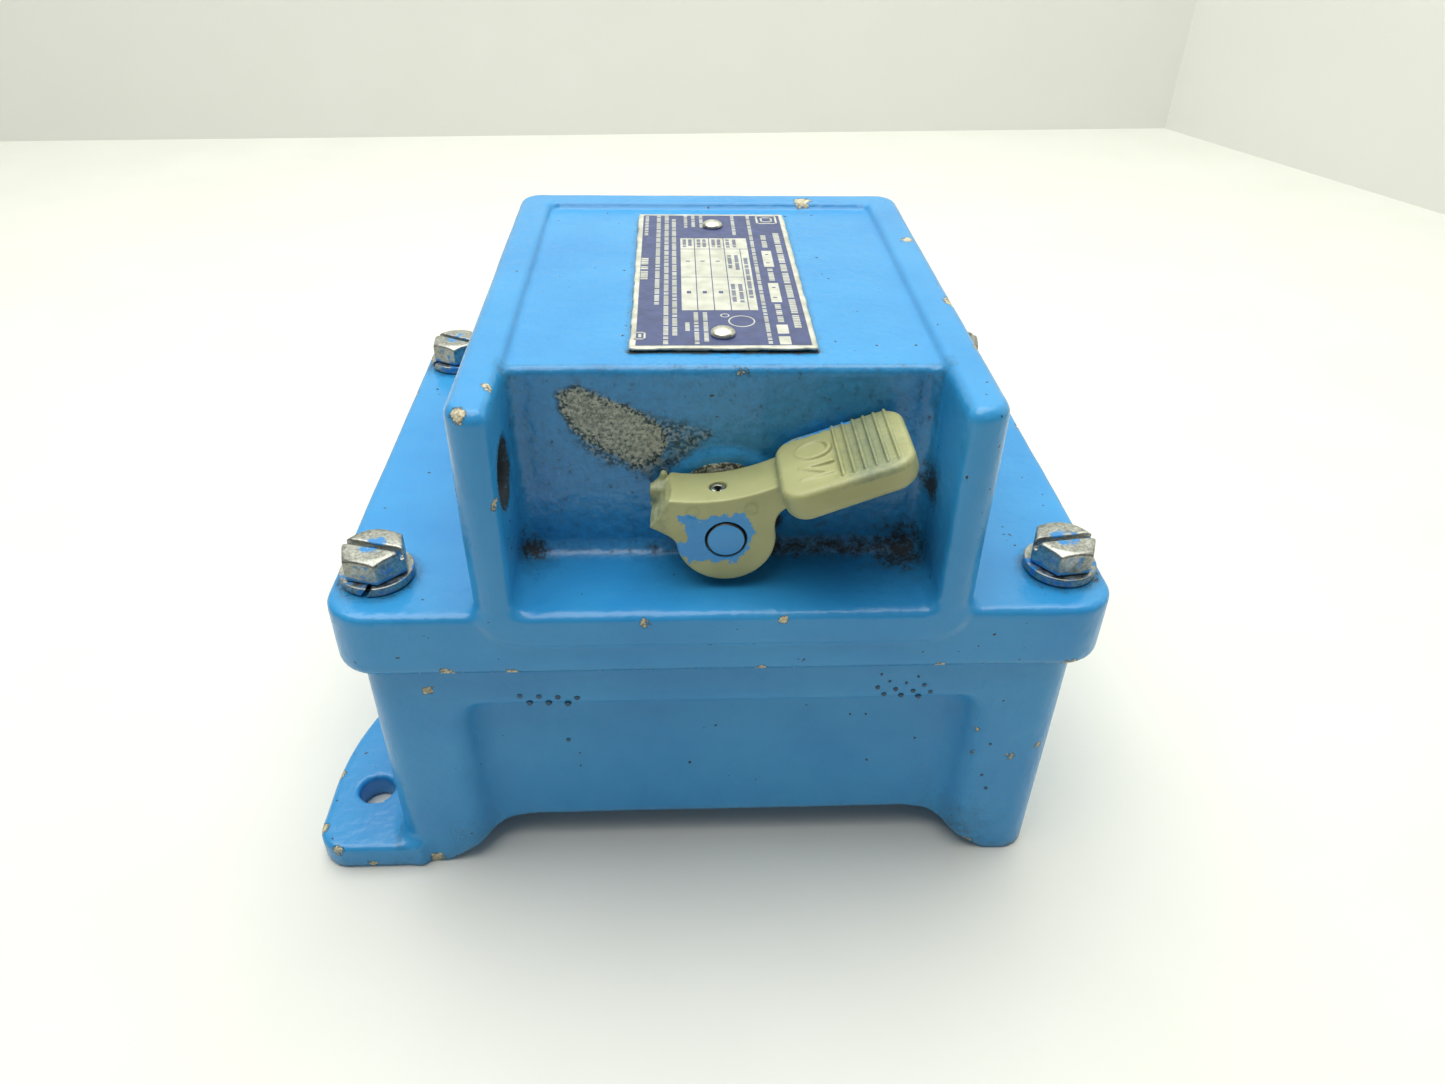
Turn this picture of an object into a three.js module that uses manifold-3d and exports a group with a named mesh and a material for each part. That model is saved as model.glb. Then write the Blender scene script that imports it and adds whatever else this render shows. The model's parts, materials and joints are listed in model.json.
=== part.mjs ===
// Manual motor switch in a cast hazardous-location enclosure, lying on its back.
// The base has conduit entries at both ends (X). The cover carries a lever in an open pocket at its
// front (-Y); the lever's shaft works a three-pole switch inside. Millimetres, +Z up. The origin is
// the middle of the enclosure's outline, on the plane that the base stands on.
import * as THREE from 'three';
import { mergeVertices } from 'three/addons/utils/BufferGeometryUtils.js';
import Module from 'manifold-3d';

const wasm = await Module();
wasm.setup();

// ---- Driving dimensions -------------------------------------------------------------------------

const gap = 0.3;                  // air left between pieces that touch

const coverWidth = 169.4;         // cover flange along X
const coverDepth = 135.4;         // cover flange along Y
const coverCorner = 10;           // plan corner radius of the flange
const flangeThickness = 16;
const flangeEdge = 1.5;           // rounding of the flange's top edge
const baseInset = 4.2;            // how far the base stands inside the cover's edge
const baseHeight = 68;            // foot plane to the joint with the cover
const baseCorner = 7;
const wall = 6;                   // usual cast wall
const endWall = 10;               // base wall at the two conduit ends
const floorHeight = 10;           // underside of the base above the foot plane
const footWidth = 12;             // rail under each end of the base
const footSlope = 13.5;           // run of the sloping inner side of each rail
const bandHeight = 13.4;          // plain band above the sunken front and rear panels
const panelSink = 6;
const pillarWidth = 22;           // corner pillar beside a sunken panel

const housingWidth = 105.8;       // raised part of the cover
const housingRise = 48;           // above the flange
const housingProud = 1.2;         // cheeks stand forward of the flange
const housingSetback = 5.3;       // rear of the housing from the flange's rear edge
const housingCorner = 6;
const housingEdge = 2.5;          // rounding of the rim's edges
const apronDrop = 6.5;            // cheeks run down the flange's front face
const apronCorner = 12;
const rimWidth = 8.7;             // rim round the sunken top panel
const rimHeight = 1.7;

const pocketDepth = 22.2;         // back wall of the lever pocket from the cheek fronts
const hubToLedge = 1.9;           // lever hub from the back of the pocket's ledge
const ledgeSlope = 1.2;           // rise of the ledge from front to back
const pocketFillet = 3.5;
const bossRadius = 13;            // round boss in the pocket round the shaft
const bossProud = 1;
const innerBossRadius = 11;
const bossToCrank = 18.7;         // shaft boss inside the cover, long for its flame path, from the crank
const padlockRadius = 6.5;
const padlockBack = 11;           // padlock hole centre behind the cheek fronts
const padlockDrop = 19;           // padlock hole centre below the rim

const boltInsetX = 9.7;           // bolt centres in from the cover's ends
const boltInsetY = 14.95;         // and in from its front and rear
const boltRadius = 4;
const boltLength = 36;            // below the washer
const boltHoleClearance = 0.5;
const boltPostRadius = 9;
const boltHeadAcrossFlats = 12.7;
const boltHeadHeight = 5.6;
const boltSlotWidth = 1.6;
const boltSlotDepth = 2.2;
const boltTurn = 14;              // degrees that each hexagon is turned
const washerRadius = 7.9;
const washerThickness = 2.1;
const washerSplit = 1.2;

const conduitRadius = 12.2;       // bore of each conduit entry
const conduitHubRadius = 18;
const conduitHubProud = 6;        // hub inside the cavity
const conduitHeight = 38;

const lugReach = 21.3;            // mounting lug beyond the end wall
const lugProud = 1.5;             // lug in front of the base
const lugSweep = 77.8;            // radius of the lug's curved rear edge
const lugThickness = 7.5;
const lugCorner = 8;
const lugHoleRadius = 4.5;
const lugHoleInset = 11.2;        // hole centre from the lug's outer end
const lugHoleBack = 19.5;         // hole centre from the lug's front

const plateWidth = 39;            // nameplate along X
const plateThickness = 0.8;
const plateFront = 7;             // nameplate from the pocket's back wall
const plateRear = 7.9;            // nameplate from the rear rim
const rivetInsetFront = 6.65;     // rivet from the nameplate's front edge
const rivetInsetRear = 10.25;     // rivet from its rear edge
const rivetHeadRadius = 2.65;
const rivetHeadHeight = 1.3;
const rivetShankRadius = 1.2;
const rivetShankLength = 4;

const shaftRadius = 4;
const shaftHeight = 30.2;         // shaft centre above the cover's joint face
const shaftReach = 9;             // inner end of the shaft past the enclosure's middle
const bushingRadius = 6.2;
const bushingFlangeRadius = 9.5;
const bushingFlange = 0.9;
const ringRadius = 7;             // retaining ring on the shaft
const ringThickness = 1.2;

const hubRadius = 10.3;
const hubThickness = 11.5;
const leverAngle = 20;            // arm above the horizontal, degrees, in the ON position
const armStart = 14.5;
const armEndGap = 2.7;            // tip of the paddle from the cheek, when level
const armLow = 4.5;               // underside of the paddle from the arm's centre line
const armHigh = 11;               // top of the paddle from the arm's centre line
const armWidth = 22.5;
const armCorner = 6;
const armEdge = 1;
const armBackGap = 0.9;           // paddle to the pocket's back wall
const leverPinRadius = 1.6;
const leverPinBore = 0.9;
const leverPinTurn = 5;           // degrees from the vertical

const throwAngle = 30;            // lever throw
const linkReach = 14;             // shaft centre, and toggle pivot, to the fork's contact
const forkTip = 2.5;
const forkHalfSlot = 2.9;
const forkTine = 3;
const forkWidth = 8;
const crankHubRadius = 8;
const crankPinRadius = 1.2;

const poleSpacing = 17;
const poleCount = 3;
const blockWidth = 72;            // switch block along X
const blockDepth = 60;
const toggleAboveBlock = 16.2;    // toggle pivot above the top of the block
const chamberWidth = 30;
const chamberDepth = 48;
const chamberFloor = 26;
const bayLength = 14;
const bayWidth = 13;
const bayDepth = 6;               // terminal bays below the top of the block
const lidWidth = 38;
const lidThickness = 7.7;
const earReach = 8;               // mounting ear beyond the block
const earWidth = 16;
const earThickness = 8;
const yokeThickness = 1.5;
const yokeGauge = 26;             // distance between the yoke's ears
const yokeWidth = 14;
const togglePinRadius = 1.5;
const toggleHubRadius = 5;
const toggleNeck = 3;
const lobeReach = 8;
const lobeRadius = 2.5;
const postWidth = 4;
const postOffset = 8.5;
const carrierDrop = 8;            // top of the carrier below the top of the block
const carrierThickness = 6;
const carrierWidth = 24;
const bridgeLength = 28;
const bridgeWidth = 8;
const stripThickness = 1.2;
const tipRadius = 2;
const tipHeight = 0.5;
const springRadius = 3;
const springWire = 0.8;
const springTurns = 5;
const screwShank = 1.8;
const screwHead = 3.6;
const screwHeadHeight = 2.2;

// ---- Dependent places ---------------------------------------------------------------------------

const flangeBottom = baseHeight;
const flangeTop = flangeBottom + flangeThickness;
const rimTop = flangeTop + housingRise;
const panelTop = rimTop - rimHeight;
const coverFront = -coverDepth / 2;
const coverRear = coverDepth / 2;
const baseWidth = coverWidth - 2 * baseInset;
const baseDepth = coverDepth - 2 * baseInset;
const baseTop = baseHeight - gap;
const housingFront = coverFront - housingProud;
const housingRear = coverRear - housingSetback;
const pocketWall = housingFront + pocketDepth;
const pocketWidth = housingWidth - 2 * rimWidth;
const plateSpan = [pocketWall + plateFront, housingRear - rimWidth - plateRear];
const shaftZ = baseHeight + shaftHeight;
const bossFace = pocketWall - bossProud;
const bushingFace = bossFace - gap - bushingFlange;
const hubBack = bushingFace - gap;
const armEnd = pocketWidth / 2 - armEndGap;
const hubFront = hubBack - hubThickness;
const innerBossEnd = -forkWidth / 2 - bossToCrank;
const ledgeBack = shaftZ - hubRadius - hubToLedge;
const ledgeFront = ledgeBack - ledgeSlope;
const toggleZ = shaftZ - 2 * linkReach;
const blockTop = toggleZ - toggleAboveBlock;
const bayFloor = blockTop - bayDepth;
const carrierTop = blockTop - carrierDrop;
const lidTop = blockTop + gap + lidThickness;
const cavityFloor = floorHeight + wall;
const halfThrow = throwAngle / 2;
const washerTop = flangeTop + gap + washerThickness;

const X = new THREE.Vector3(1, 0, 0);
const Y = new THREE.Vector3(0, 1, 0);
const Z = new THREE.Vector3(0, 0, 1);

// ---- Materials ----------------------------------------------------------------------------------

function finish(color, roughness, metalness = 0) {
  return new THREE.MeshStandardMaterial({ color, roughness, metalness });
}

const blueEnamel = finish(0x2c86cf, 0.35);
const zincSteel = finish(0xa9aba8, 0.4, 0.9);
const bareAluminium = finish(0xb9b8ae, 0.55, 0.8);
const plateInk = finish(0x5a6594, 0.4, 0.4);
const nylon = finish(0xb4b482, 0.45);
const darkSteel = finish(0x53524e, 0.5, 0.8);
const phenolic = finish(0x24211f, 0.5);
const redMoulding = finish(0x8c2a22, 0.45);
const copper = finish(0xb06a3e, 0.35, 0.95);
const brass = finish(0xb89a52, 0.35, 0.95);
const greenSteel = finish(0x3d7a48, 0.5, 0.6);

// ---- Solids -------------------------------------------------------------------------------------

function solid(geometry) {
  const bare = geometry.clone();
  bare.deleteAttribute('normal');
  bare.deleteAttribute('uv');
  const merged = mergeVertices(bare, 1e-4);
  return new wasm.Manifold(new wasm.Mesh({
    numProp: 3,
    vertProperties: new Float32Array(merged.attributes.position.array),
    triVerts: new Uint32Array(merged.index.array),
  }));
}

function toGeometry(manifold) {
  const mesh = manifold.getMesh();
  const geometry = new THREE.BufferGeometry();
  geometry.setAttribute('position', new THREE.BufferAttribute(mesh.vertProperties, 3));
  geometry.setIndex(new THREE.BufferAttribute(mesh.triVerts, 1));
  geometry.computeVertexNormals();
  return geometry;
}

function join(...pieces) {
  return pieces.reduce((whole, piece) => whole.add(piece));
}

function cut(body, ...tools) {
  return tools.reduce((whole, tool) => whole.subtract(tool), body);
}

function box(x, y, z) {
  const geometry = new THREE.BoxGeometry(x[1] - x[0], y[1] - y[0], z[1] - z[0]);
  return solid(geometry.translate((x[0] + x[1]) / 2, (y[0] + y[1]) / 2, (z[0] + z[1]) / 2));
}

// A cylinder, or a cone if endRadius differs, from `from` to `to` along an axis through `at`.
function rod(axis, at, from, to, radius, segments = 24, endRadius = radius) {
  const geometry = new THREE.CylinderGeometry(endRadius, radius, to - from, segments);
  geometry.translate(0, (from + to) / 2, 0);
  if (axis === 'x') geometry.applyMatrix4(new THREE.Matrix4().makeBasis(Y, X, Z.clone().negate()));
  if (axis === 'z') geometry.rotateX(Math.PI / 2);
  return solid(geometry.translate(at[0], at[1], at[2]));
}

function roundedRect(x, y, radius) {
  const shape = new THREE.Shape();
  shape.moveTo(x[0] + radius, y[0]);
  shape.lineTo(x[1] - radius, y[0]);
  shape.absarc(x[1] - radius, y[0] + radius, radius, -Math.PI / 2, 0);
  shape.absarc(x[1] - radius, y[1] - radius, radius, 0, Math.PI / 2);
  shape.absarc(x[0] + radius, y[1] - radius, radius, Math.PI / 2, Math.PI);
  shape.absarc(x[0] + radius, y[0] + radius, radius, Math.PI, 1.5 * Math.PI);
  return shape;
}

function polygon(points) {
  return new THREE.Shape(points.map(([u, v]) => new THREE.Vector2(u, v)));
}

// A prism of a shape between two levels, with its edges rounded inwards by `edge` at both ends.
function prismGeometry(shape, low, high, edge = 0, curveSegments = 6) {
  const geometry = new THREE.ExtrudeGeometry(shape, {
    depth: high - low - 2 * edge,
    curveSegments,
    bevelEnabled: edge > 0,
    bevelThickness: edge,
    bevelSize: edge,
    bevelOffset: -edge,
    bevelSegments: 3,
  });
  return geometry.translate(0, 0, low + edge);
}

function prism(shape, low, high, edge, curveSegments) {
  return solid(prismGeometry(shape, low, high, edge, curveSegments));
}

// A shape drawn in X and Z, carried along Y.
function prismAlongY(shape, front, rear, edge, curveSegments) {
  const geometry = prismGeometry(shape, -rear, -front, edge, curveSegments);
  return solid(geometry.applyMatrix4(new THREE.Matrix4().makeBasis(X, Z, Y.clone().negate())));
}

// A shape drawn in Y and Z, carried along X.
function prismAlongX(shape, left, right, edge, curveSegments) {
  const geometry = prismGeometry(shape, left, right, edge, curveSegments);
  return solid(geometry.applyMatrix4(new THREE.Matrix4().makeBasis(Y, Z, X)));
}

function centred(size) {
  return [-size / 2, size / 2];
}

function eachSign(make) {
  return [-1, 1].map(make);
}

// The stretch from `near` to `far` on one side of the middle, lowest value first.
function span(side, near, far) {
  return side < 0 ? [-far, -near] : [near, far];
}

function boltPlaces() {
  return [
    ['front_left', -1, -1], ['front_right', 1, -1], ['back_left', -1, 1], ['back_right', 1, 1],
  ].map(([name, sx, sy]) => [name, sx * (coverWidth / 2 - boltInsetX), sy * (coverDepth / 2 - boltInsetY)]);
}

function poles() {
  return Array.from({ length: poleCount }, (_, i) => (i - (poleCount - 1) / 2) * poleSpacing);
}

// ---- Base ---------------------------------------------------------------------------------------

function lugShape() {
  const outer = -baseWidth / 2 - lugReach;
  const inner = -baseWidth / 2 + footWidth / 2;
  const front = -baseDepth / 2 - lugProud;
  const shape = new THREE.Shape();
  shape.moveTo(inner, front);
  shape.lineTo(outer + lugCorner, front);
  shape.absarc(outer + lugCorner, front + lugCorner, lugCorner, 1.5 * Math.PI, Math.PI, true);
  const bend = front + lugHoleBack;
  const centre = outer + lugSweep;
  shape.lineTo(outer, bend);
  shape.absarc(centre, bend, lugSweep, Math.PI, Math.acos((inner - centre) / lugSweep), true);
  return shape;
}

function lugHolePlace() {
  return [-baseWidth / 2 - lugReach + lugHoleInset, -baseDepth / 2 - lugProud + lugHoleBack];
}

function lug(turned) {
  const [x, y] = lugHolePlace();
  const body = prism(lugShape(), 0, lugThickness, 0);
  const hole = rod('z', [x, y, 0], -1, lugThickness + 1, lugHoleRadius);
  return turned ? cut(body, hole).rotate([0, 0, 180]) : cut(body, hole);
}

function underGapShape() {
  const outer = baseWidth / 2 - footWidth;
  return polygon([
    [-outer, -1], [outer, -1], [outer, 0], [outer - footSlope, floorHeight],
    [footSlope - outer, floorHeight], [-outer, 0],
  ]);
}

// The sunken panel's cutter, with sides that slope in towards the panel.
function panelCutter(side) {
  const half = baseWidth / 2 - pillarWidth + panelSink;
  const top = baseHeight - bandHeight;
  const shape = roundedRect([-half, half], [-2 * panelSink, top], panelSink);
  const face = baseDepth / 2 - panelSink;
  const far = baseDepth / 2 + panelSink;
  return side < 0
    ? prismAlongY(shape, -far, -face, panelSink - 1)
    : prismAlongY(shape, face, far, panelSink - 1);
}

function base() {
  const outline = roundedRect(centred(baseWidth), centred(baseDepth), baseCorner);
  const cavityX = centred(baseWidth - 2 * endWall);
  const cavityY = centred(baseDepth - 2 * (wall + panelSink));
  const cavity = prism(roundedRect(cavityX, cavityY, wall), cavityFloor, baseHeight + 1, 0);
  const solidOutline = prism(outline, 0, baseTop, 0);
  const posts = boltPlaces().map(([, x, y]) => rod('z', [x, y, 0],
    cavityFloor, baseTop, boltPostRadius).intersect(solidOutline));
  const hubs = eachSign((side) => rod('x', [0, 0, conduitHeight], ...span(side,
    baseWidth / 2 - endWall - conduitHubProud, baseWidth / 2 - 1), conduitHubRadius, 32));
  const body = cut(
    solidOutline,
    cavity,
    prismAlongY(underGapShape(), -baseDepth, baseDepth, 0),
    panelCutter(-1),
    panelCutter(1),
  );
  const cast = join(body, ...posts, ...hubs, lug(false), lug(true));
  const boltHoles = boltPlaces().map(([, x, y]) => rod('z', [x, y, 0],
    washerTop - boltLength - 3, baseHeight + 1, boltRadius + boltHoleClearance));
  const entries = rod('x', [0, 0, conduitHeight], -baseWidth, baseWidth, conduitRadius, 36);
  const screwHoles = [...mountScrewPlaces(), groundScrewPlace()].map(([x, y]) => rod('z', [x, y, 0],
    cavityFloor - 4, cavityFloor + 1, screwShank + gap, 12));
  return cut(cast, ...boltHoles, entries, ...screwHoles);
}

// ---- Cover --------------------------------------------------------------------------------------

function pocketCutter() {
  const far = housingFront - 4 * pocketFillet;
  const high = rimTop + 4 * pocketFillet;
  const corner = pocketFillet + 1.5;
  const shape = new THREE.Shape();
  shape.moveTo(far, ledgeFront);
  shape.lineTo(housingFront, ledgeFront);
  shape.lineTo(pocketWall - corner, ledgeBack);
  shape.quadraticCurveTo(pocketWall, ledgeBack, pocketWall, ledgeBack + corner);
  shape.lineTo(pocketWall, high);
  shape.lineTo(far, high);
  return prismAlongX(shape, -pocketWidth / 2, pocketWidth / 2, pocketFillet, 4);
}

function housing() {
  const plan = roundedRect(centred(housingWidth), [housingFront, housingRear], housingCorner);
  const apron = flangeTop - apronDrop;
  const face = roundedRect(centred(housingWidth), [apron, rimTop + apronCorner], apronCorner);
  const block = prism(plan, apron - 2 * housingEdge, rimTop, housingEdge);
  return block.intersect(prismAlongY(face, housingFront - 1, housingRear + 1, 0, 8));
}

function topPanelCutter() {
  const rear = housingRear - rimWidth;
  const shape = roundedRect(centred(pocketWidth), [pocketWall - 2 * pocketFillet, rear], pocketFillet);
  return prism(shape, panelTop, rimTop + 2 * rimHeight, 0);
}

function coverCavity() {
  const x = centred(housingWidth - 2 * wall);
  const rear = housingRear - wall;
  const lower = roundedRect(x, [housingFront + housingProud + 1.3 * wall, rear], wall);
  const upper = roundedRect(x, [pocketWall + wall, rear], wall);
  return join(
    prism(lower, flangeBottom - 1, ledgeFront - wall, 0),
    prism(upper, flangeBottom - 1, panelTop - wall, 0),
  );
}

function cover() {
  const outline = roundedRect(centred(coverWidth), centred(coverDepth), coverCorner);
  const flange = cut(
    prism(outline, flangeBottom - 2 * flangeEdge, flangeTop, flangeEdge),
    box(centred(2 * coverWidth), centred(2 * coverDepth), [0, flangeBottom]),
  );
  const at = [0, 0, shaftZ];
  const shell = cut(join(flange, housing()), pocketCutter(), topPanelCutter(), coverCavity());
  const boss = rod('y', at, bossFace, pocketWall + 1, bossRadius, 36, bossRadius + bossProud);
  const innerBoss = rod('y', at, pocketWall + 1, innerBossEnd, innerBossRadius, 32);
  const shaftHole = rod('y', at, housingFront, innerBossEnd + 1, bushingRadius + gap, 32);
  const padlock = rod('x', [0, housingFront + padlockBack, rimTop - padlockDrop],
    -housingWidth, -pocketWidth / 2 + rimWidth, padlockRadius, 28);
  const boltHoles = boltPlaces().map(([, x, y]) => rod('z', [x, y, 0],
    flangeBottom - 1, flangeTop + 1, boltRadius + boltHoleClearance));
  const rivetHoles = rivetPlaces().map((y) => rod('z', [0, y, 0],
    panelTop - rivetShankLength - gap, panelTop + 1, rivetShankRadius + gap, 16));
  return cut(join(shell, boss, innerBoss), shaftHole, padlock, ...boltHoles, ...rivetHoles);
}

// ---- Fasteners ----------------------------------------------------------------------------------

function coverBolt(x, y) {
  const headRadius = boltHeadAcrossFlats / Math.sqrt(3);
  const low = washerTop + gap;
  const high = low + boltHeadHeight;
  const hexagon = new THREE.CylinderGeometry(headRadius, headRadius, boltHeadHeight, 6);
  hexagon.rotateX(Math.PI / 2).rotateZ(THREE.MathUtils.degToRad(boltTurn)).translate(0, 0, (low + high) / 2);
  const chamfer = rod('z', [0, 0, 0], low - 1, high, headRadius + boltHeadHeight + 1, 24, headRadius - 0.8);
  const head = solid(hexagon).intersect(chamfer);
  const slot = box(centred(3 * headRadius), centred(boltSlotWidth), [high - boltSlotDepth, high + 1]);
  const shank = rod('z', [0, 0, 0], washerTop - boltLength, low + 1, boltRadius);
  return cut(join(head, shank), slot).translate([x, y, 0]);
}

function lockWasher(x, y) {
  const low = flangeTop + gap;
  const ring = cut(
    rod('z', [0, 0, 0], low, low + washerThickness, washerRadius, 28),
    rod('z', [0, 0, 0], low - 1, washerTop + 1, boltRadius + gap, 20),
    box([0, 2 * washerRadius], centred(washerSplit), [low - 1, washerTop + 1]),
  );
  return ring.translate([x, y, 0]);
}

function panScrew([x, y], seat, length) {
  const head = rod('z', [0, 0, 0], seat + gap, seat + gap + screwHeadHeight, screwHead, 16, screwHead - 0.6);
  const shank = rod('z', [0, 0, 0], seat - length, seat + gap + 1, screwShank, 12);
  const top = seat + gap + screwHeadHeight;
  const slot = box(centred(3 * screwHead), centred(0.8), [top - 1, top + 1]);
  return cut(join(head, shank), slot).translate([x, y, 0]);
}

// ---- Nameplate ----------------------------------------------------------------------------------

function rivetPlaces() {
  return [plateSpan[0] + rivetInsetFront, plateSpan[1] - rivetInsetRear];
}

function nameplate() {
  const sheet = box(centred(plateWidth), plateSpan, [panelTop + gap, panelTop + gap + plateThickness]);
  const holes = rivetPlaces().map((at) => rod('z', [0, at, 0],
    panelTop, panelTop + 2 * plateThickness, rivetShankRadius + gap, 16));
  return cut(sheet, ...holes);
}

function rivet(y) {
  const seat = panelTop + 2 * gap + plateThickness;
  const steps = 4;
  const dome = Array.from({ length: steps + 1 }, (_, i) => {
    const turn = (i / steps) * Math.PI / 2;
    const radius = i === steps ? 0 : rivetHeadRadius * Math.cos(turn);
    return new THREE.Vector2(radius, seat + rivetHeadHeight * Math.sin(turn));
  });
  const bottom = panelTop - rivetShankLength;
  const profile = [new THREE.Vector2(0, bottom), new THREE.Vector2(rivetShankRadius, bottom),
    new THREE.Vector2(rivetShankRadius, seat), ...dome];
  return solid(new THREE.LatheGeometry(profile, 16).rotateX(Math.PI / 2)).translate([0, y, 0]);
}

// ---- Lever and shaft ----------------------------------------------------------------------------

// The hub seen from the front, from the neck round under the shaft to the broken second arm.
function hubShape() {
  const low = THREE.MathUtils.degToRad(15);
  const shape = new THREE.Shape();
  shape.moveTo(armStart + 1.5, hubRadius - 4.2);
  shape.lineTo(hubRadius * Math.cos(low), hubRadius * Math.sin(low));
  shape.absarc(0, 0, hubRadius, low, Math.PI, true);
  shape.lineTo(-hubRadius - 5.3, 3.2);
  shape.lineTo(-hubRadius - 2.4, 5.2);
  shape.lineTo(-hubRadius - 3, 8);
  shape.lineTo(-hubRadius - 1, 9.8);
  shape.quadraticCurveTo(-1, 7.6, armStart - 2, hubRadius + 4);
  shape.lineTo(armStart + 1.5, hubRadius + 4);
  return shape;
}

function lever() {
  const hub = prismAlongY(hubShape(), hubFront, hubBack, 0, 12);
  const paddlePlan = roundedRect([armStart, armEnd], centred(armWidth), armCorner);
  const rear = pocketWall - armBackGap;
  const paddle = prism(paddlePlan, armLow, armHigh, armEdge, 5)
    .rotate([0, -leverAngle, 0]).translate([0, rear - armWidth / 2, 0]);
  const bore = rod('y', [0, 0, 0], hubFront - 1, hubBack + 1, shaftRadius + gap, 28);
  const crossHole = rod('z', [0, 0, 0], -2 * hubRadius, 2 * hubRadius, leverPinRadius + gap, 16)
    .rotate([0, -leverPinTurn, 0]).translate([0, (hubFront + hubBack) / 2, 0]);
  return cut(join(hub, paddle), bore, crossHole).translate([0, 0, shaftZ]);
}

function leverPin() {
  const reach = hubRadius - 2;
  const pin = cut(
    rod('z', [0, 0, 0], -reach, reach + 0.8, leverPinRadius, 16),
    rod('z', [0, 0, 0], -2 * reach, 2 * reach, leverPinBore, 12),
    box([0, 2], centred(0.5), centred(4 * reach)),
  );
  return pin.rotate([0, -leverPinTurn, 0]).translate([0, (hubFront + hubBack) / 2, shaftZ]);
}

function operatingShaft() {
  const hubMiddle = (hubFront + hubBack) / 2;
  const body = rod('y', [0, 0, 0], hubFront - 0.2, shaftReach, shaftRadius, 28);
  const pinHole = rod('z', [0, 0, 0], -2 * shaftRadius, 2 * shaftRadius, leverPinRadius + gap, 16)
    .rotate([0, -leverPinTurn, 0]).translate([0, hubMiddle, 0]);
  const crankHole = rod('z', [0, 0, 0], -2 * shaftRadius, 2 * shaftRadius, crankPinRadius + gap, 12)
    .rotate([0, halfThrow, 0]);
  const [low, high] = ringSpan();
  const groove = cut(
    rod('y', [0, 0, 0], low - gap, high + gap, 2 * shaftRadius, 24),
    rod('y', [0, 0, 0], low - 1, high + 1, shaftRadius - 0.8, 24),
  );
  return cut(body, pinHole, crankHole, groove).translate([0, 0, shaftZ]);
}

function shaftBushing() {
  const outer = join(
    rod('y', [0, 0, 0], bushingFace, bossFace - gap, bushingFlangeRadius, 36),
    rod('y', [0, 0, 0], bossFace - gap - 0.5, innerBossEnd + 1, bushingRadius, 32),
  );
  return cut(outer, rod('y', [0, 0, 0], bushingFace - 1, innerBossEnd + 2, shaftRadius + gap, 28))
    .translate([0, 0, shaftZ]);
}

function ringSpan() {
  const low = innerBossEnd + 1 + 2 * gap;
  return [low, low + ringThickness];
}

function retainingRing() {
  const [low, high] = ringSpan();
  return cut(
    rod('y', [0, 0, 0], low, high, ringRadius, 28),
    rod('y', [0, 0, 0], low - 1, high + 1, shaftRadius - 0.5, 24),
    box(centred(2.4), [low - 1, high + 1], [0, 2 * ringRadius]),
  ).translate([0, 0, shaftZ]);
}

function crank() {
  const end = linkReach + forkTip;
  const arm = forkHalfSlot + forkTine;
  const outline = polygon([[-arm, -end], [arm, -end], [arm, 0], [-arm, 0]]);
  const body = join(
    rod('y', [0, 0, 0], ...centred(forkWidth), crankHubRadius, 32),
    prismAlongY(outline, ...centred(forkWidth), 0),
  );
  return cut(
    body,
    box(centred(2 * forkHalfSlot), centred(2 * forkWidth), [-2 * end, -crankHubRadius]),
    rod('y', [0, 0, 0], ...centred(2 * forkWidth), shaftRadius + gap, 28),
    rod('z', [0, 0, 0], -1, 2 * crankHubRadius, crankPinRadius + gap, 12),
  ).rotate([0, halfThrow, 0]).translate([0, 0, shaftZ]);
}

function crankPin() {
  return rod('z', [0, 0, 0], -shaftRadius + 0.5, crankHubRadius, crankPinRadius, 12)
    .rotate([0, halfThrow, 0]).translate([0, 0, shaftZ]);
}

// ---- Switch -------------------------------------------------------------------------------------

function mountScrewPlaces() {
  return eachSign((side) => [0, side * (blockDepth + earReach) / 2]);
}

function groundScrewPlace() {
  return [blockWidth / 2 + 14, baseDepth / 4];
}

function lidScrewPlaces() {
  return eachSign((side) => [side * (lidWidth / 2 - 5), side * (chamberDepth + blockDepth) / 4]);
}

function terminalPlaces(side) {
  return poles().map((y) => [side * (blockWidth / 2 - bayLength / 2), y]);
}

function switchBlock() {
  const low = cavityFloor + gap;
  const ears = mountScrewPlaces().map(([, y]) => box(centred(earWidth),
    centred(earReach).map((edge) => y + edge - Math.sign(y)), [low, low + earThickness]));
  const block = join(box(centred(blockWidth), centred(blockDepth), [low, blockTop]), ...ears);
  const chamber = box(centred(chamberWidth), centred(chamberDepth), [chamberFloor, blockTop + 1]);
  const bays = eachSign((side) => poles().map((y) => {
    const reach = span(side, blockWidth / 2 - bayLength, blockWidth / 2 + 1);
    return box(reach, [y - bayWidth / 2, y + bayWidth / 2], [bayFloor, blockTop + 1]);
  })).flat();
  const halfStrip = bridgeWidth / 2 + gap;
  const slots = poles().map((y) => box(centred(blockWidth - bayLength), [y - halfStrip, y + halfStrip],
    [bayFloor, bayFloor + stripThickness + 2 * gap]));
  const screwHoles = [...terminalPlaces(-1), ...terminalPlaces(1)].map(([x, y]) => rod('z', [x, y, 0],
    bayFloor - 9, bayFloor + 1, screwShank + gap, 12));
  const lidHoles = lidScrewPlaces().map(([x, y]) => rod('z', [x, y, 0],
    blockTop - 9, blockTop + 1, screwShank + gap, 12));
  const mountHoles = mountScrewPlaces().map(([x, y]) => rod('z', [x, y, 0],
    low - 1, low + earThickness + 1, screwShank + gap, 12));
  return cut(block, chamber, ...bays, ...slots, ...screwHoles, ...lidHoles, ...mountHoles);
}

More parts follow.
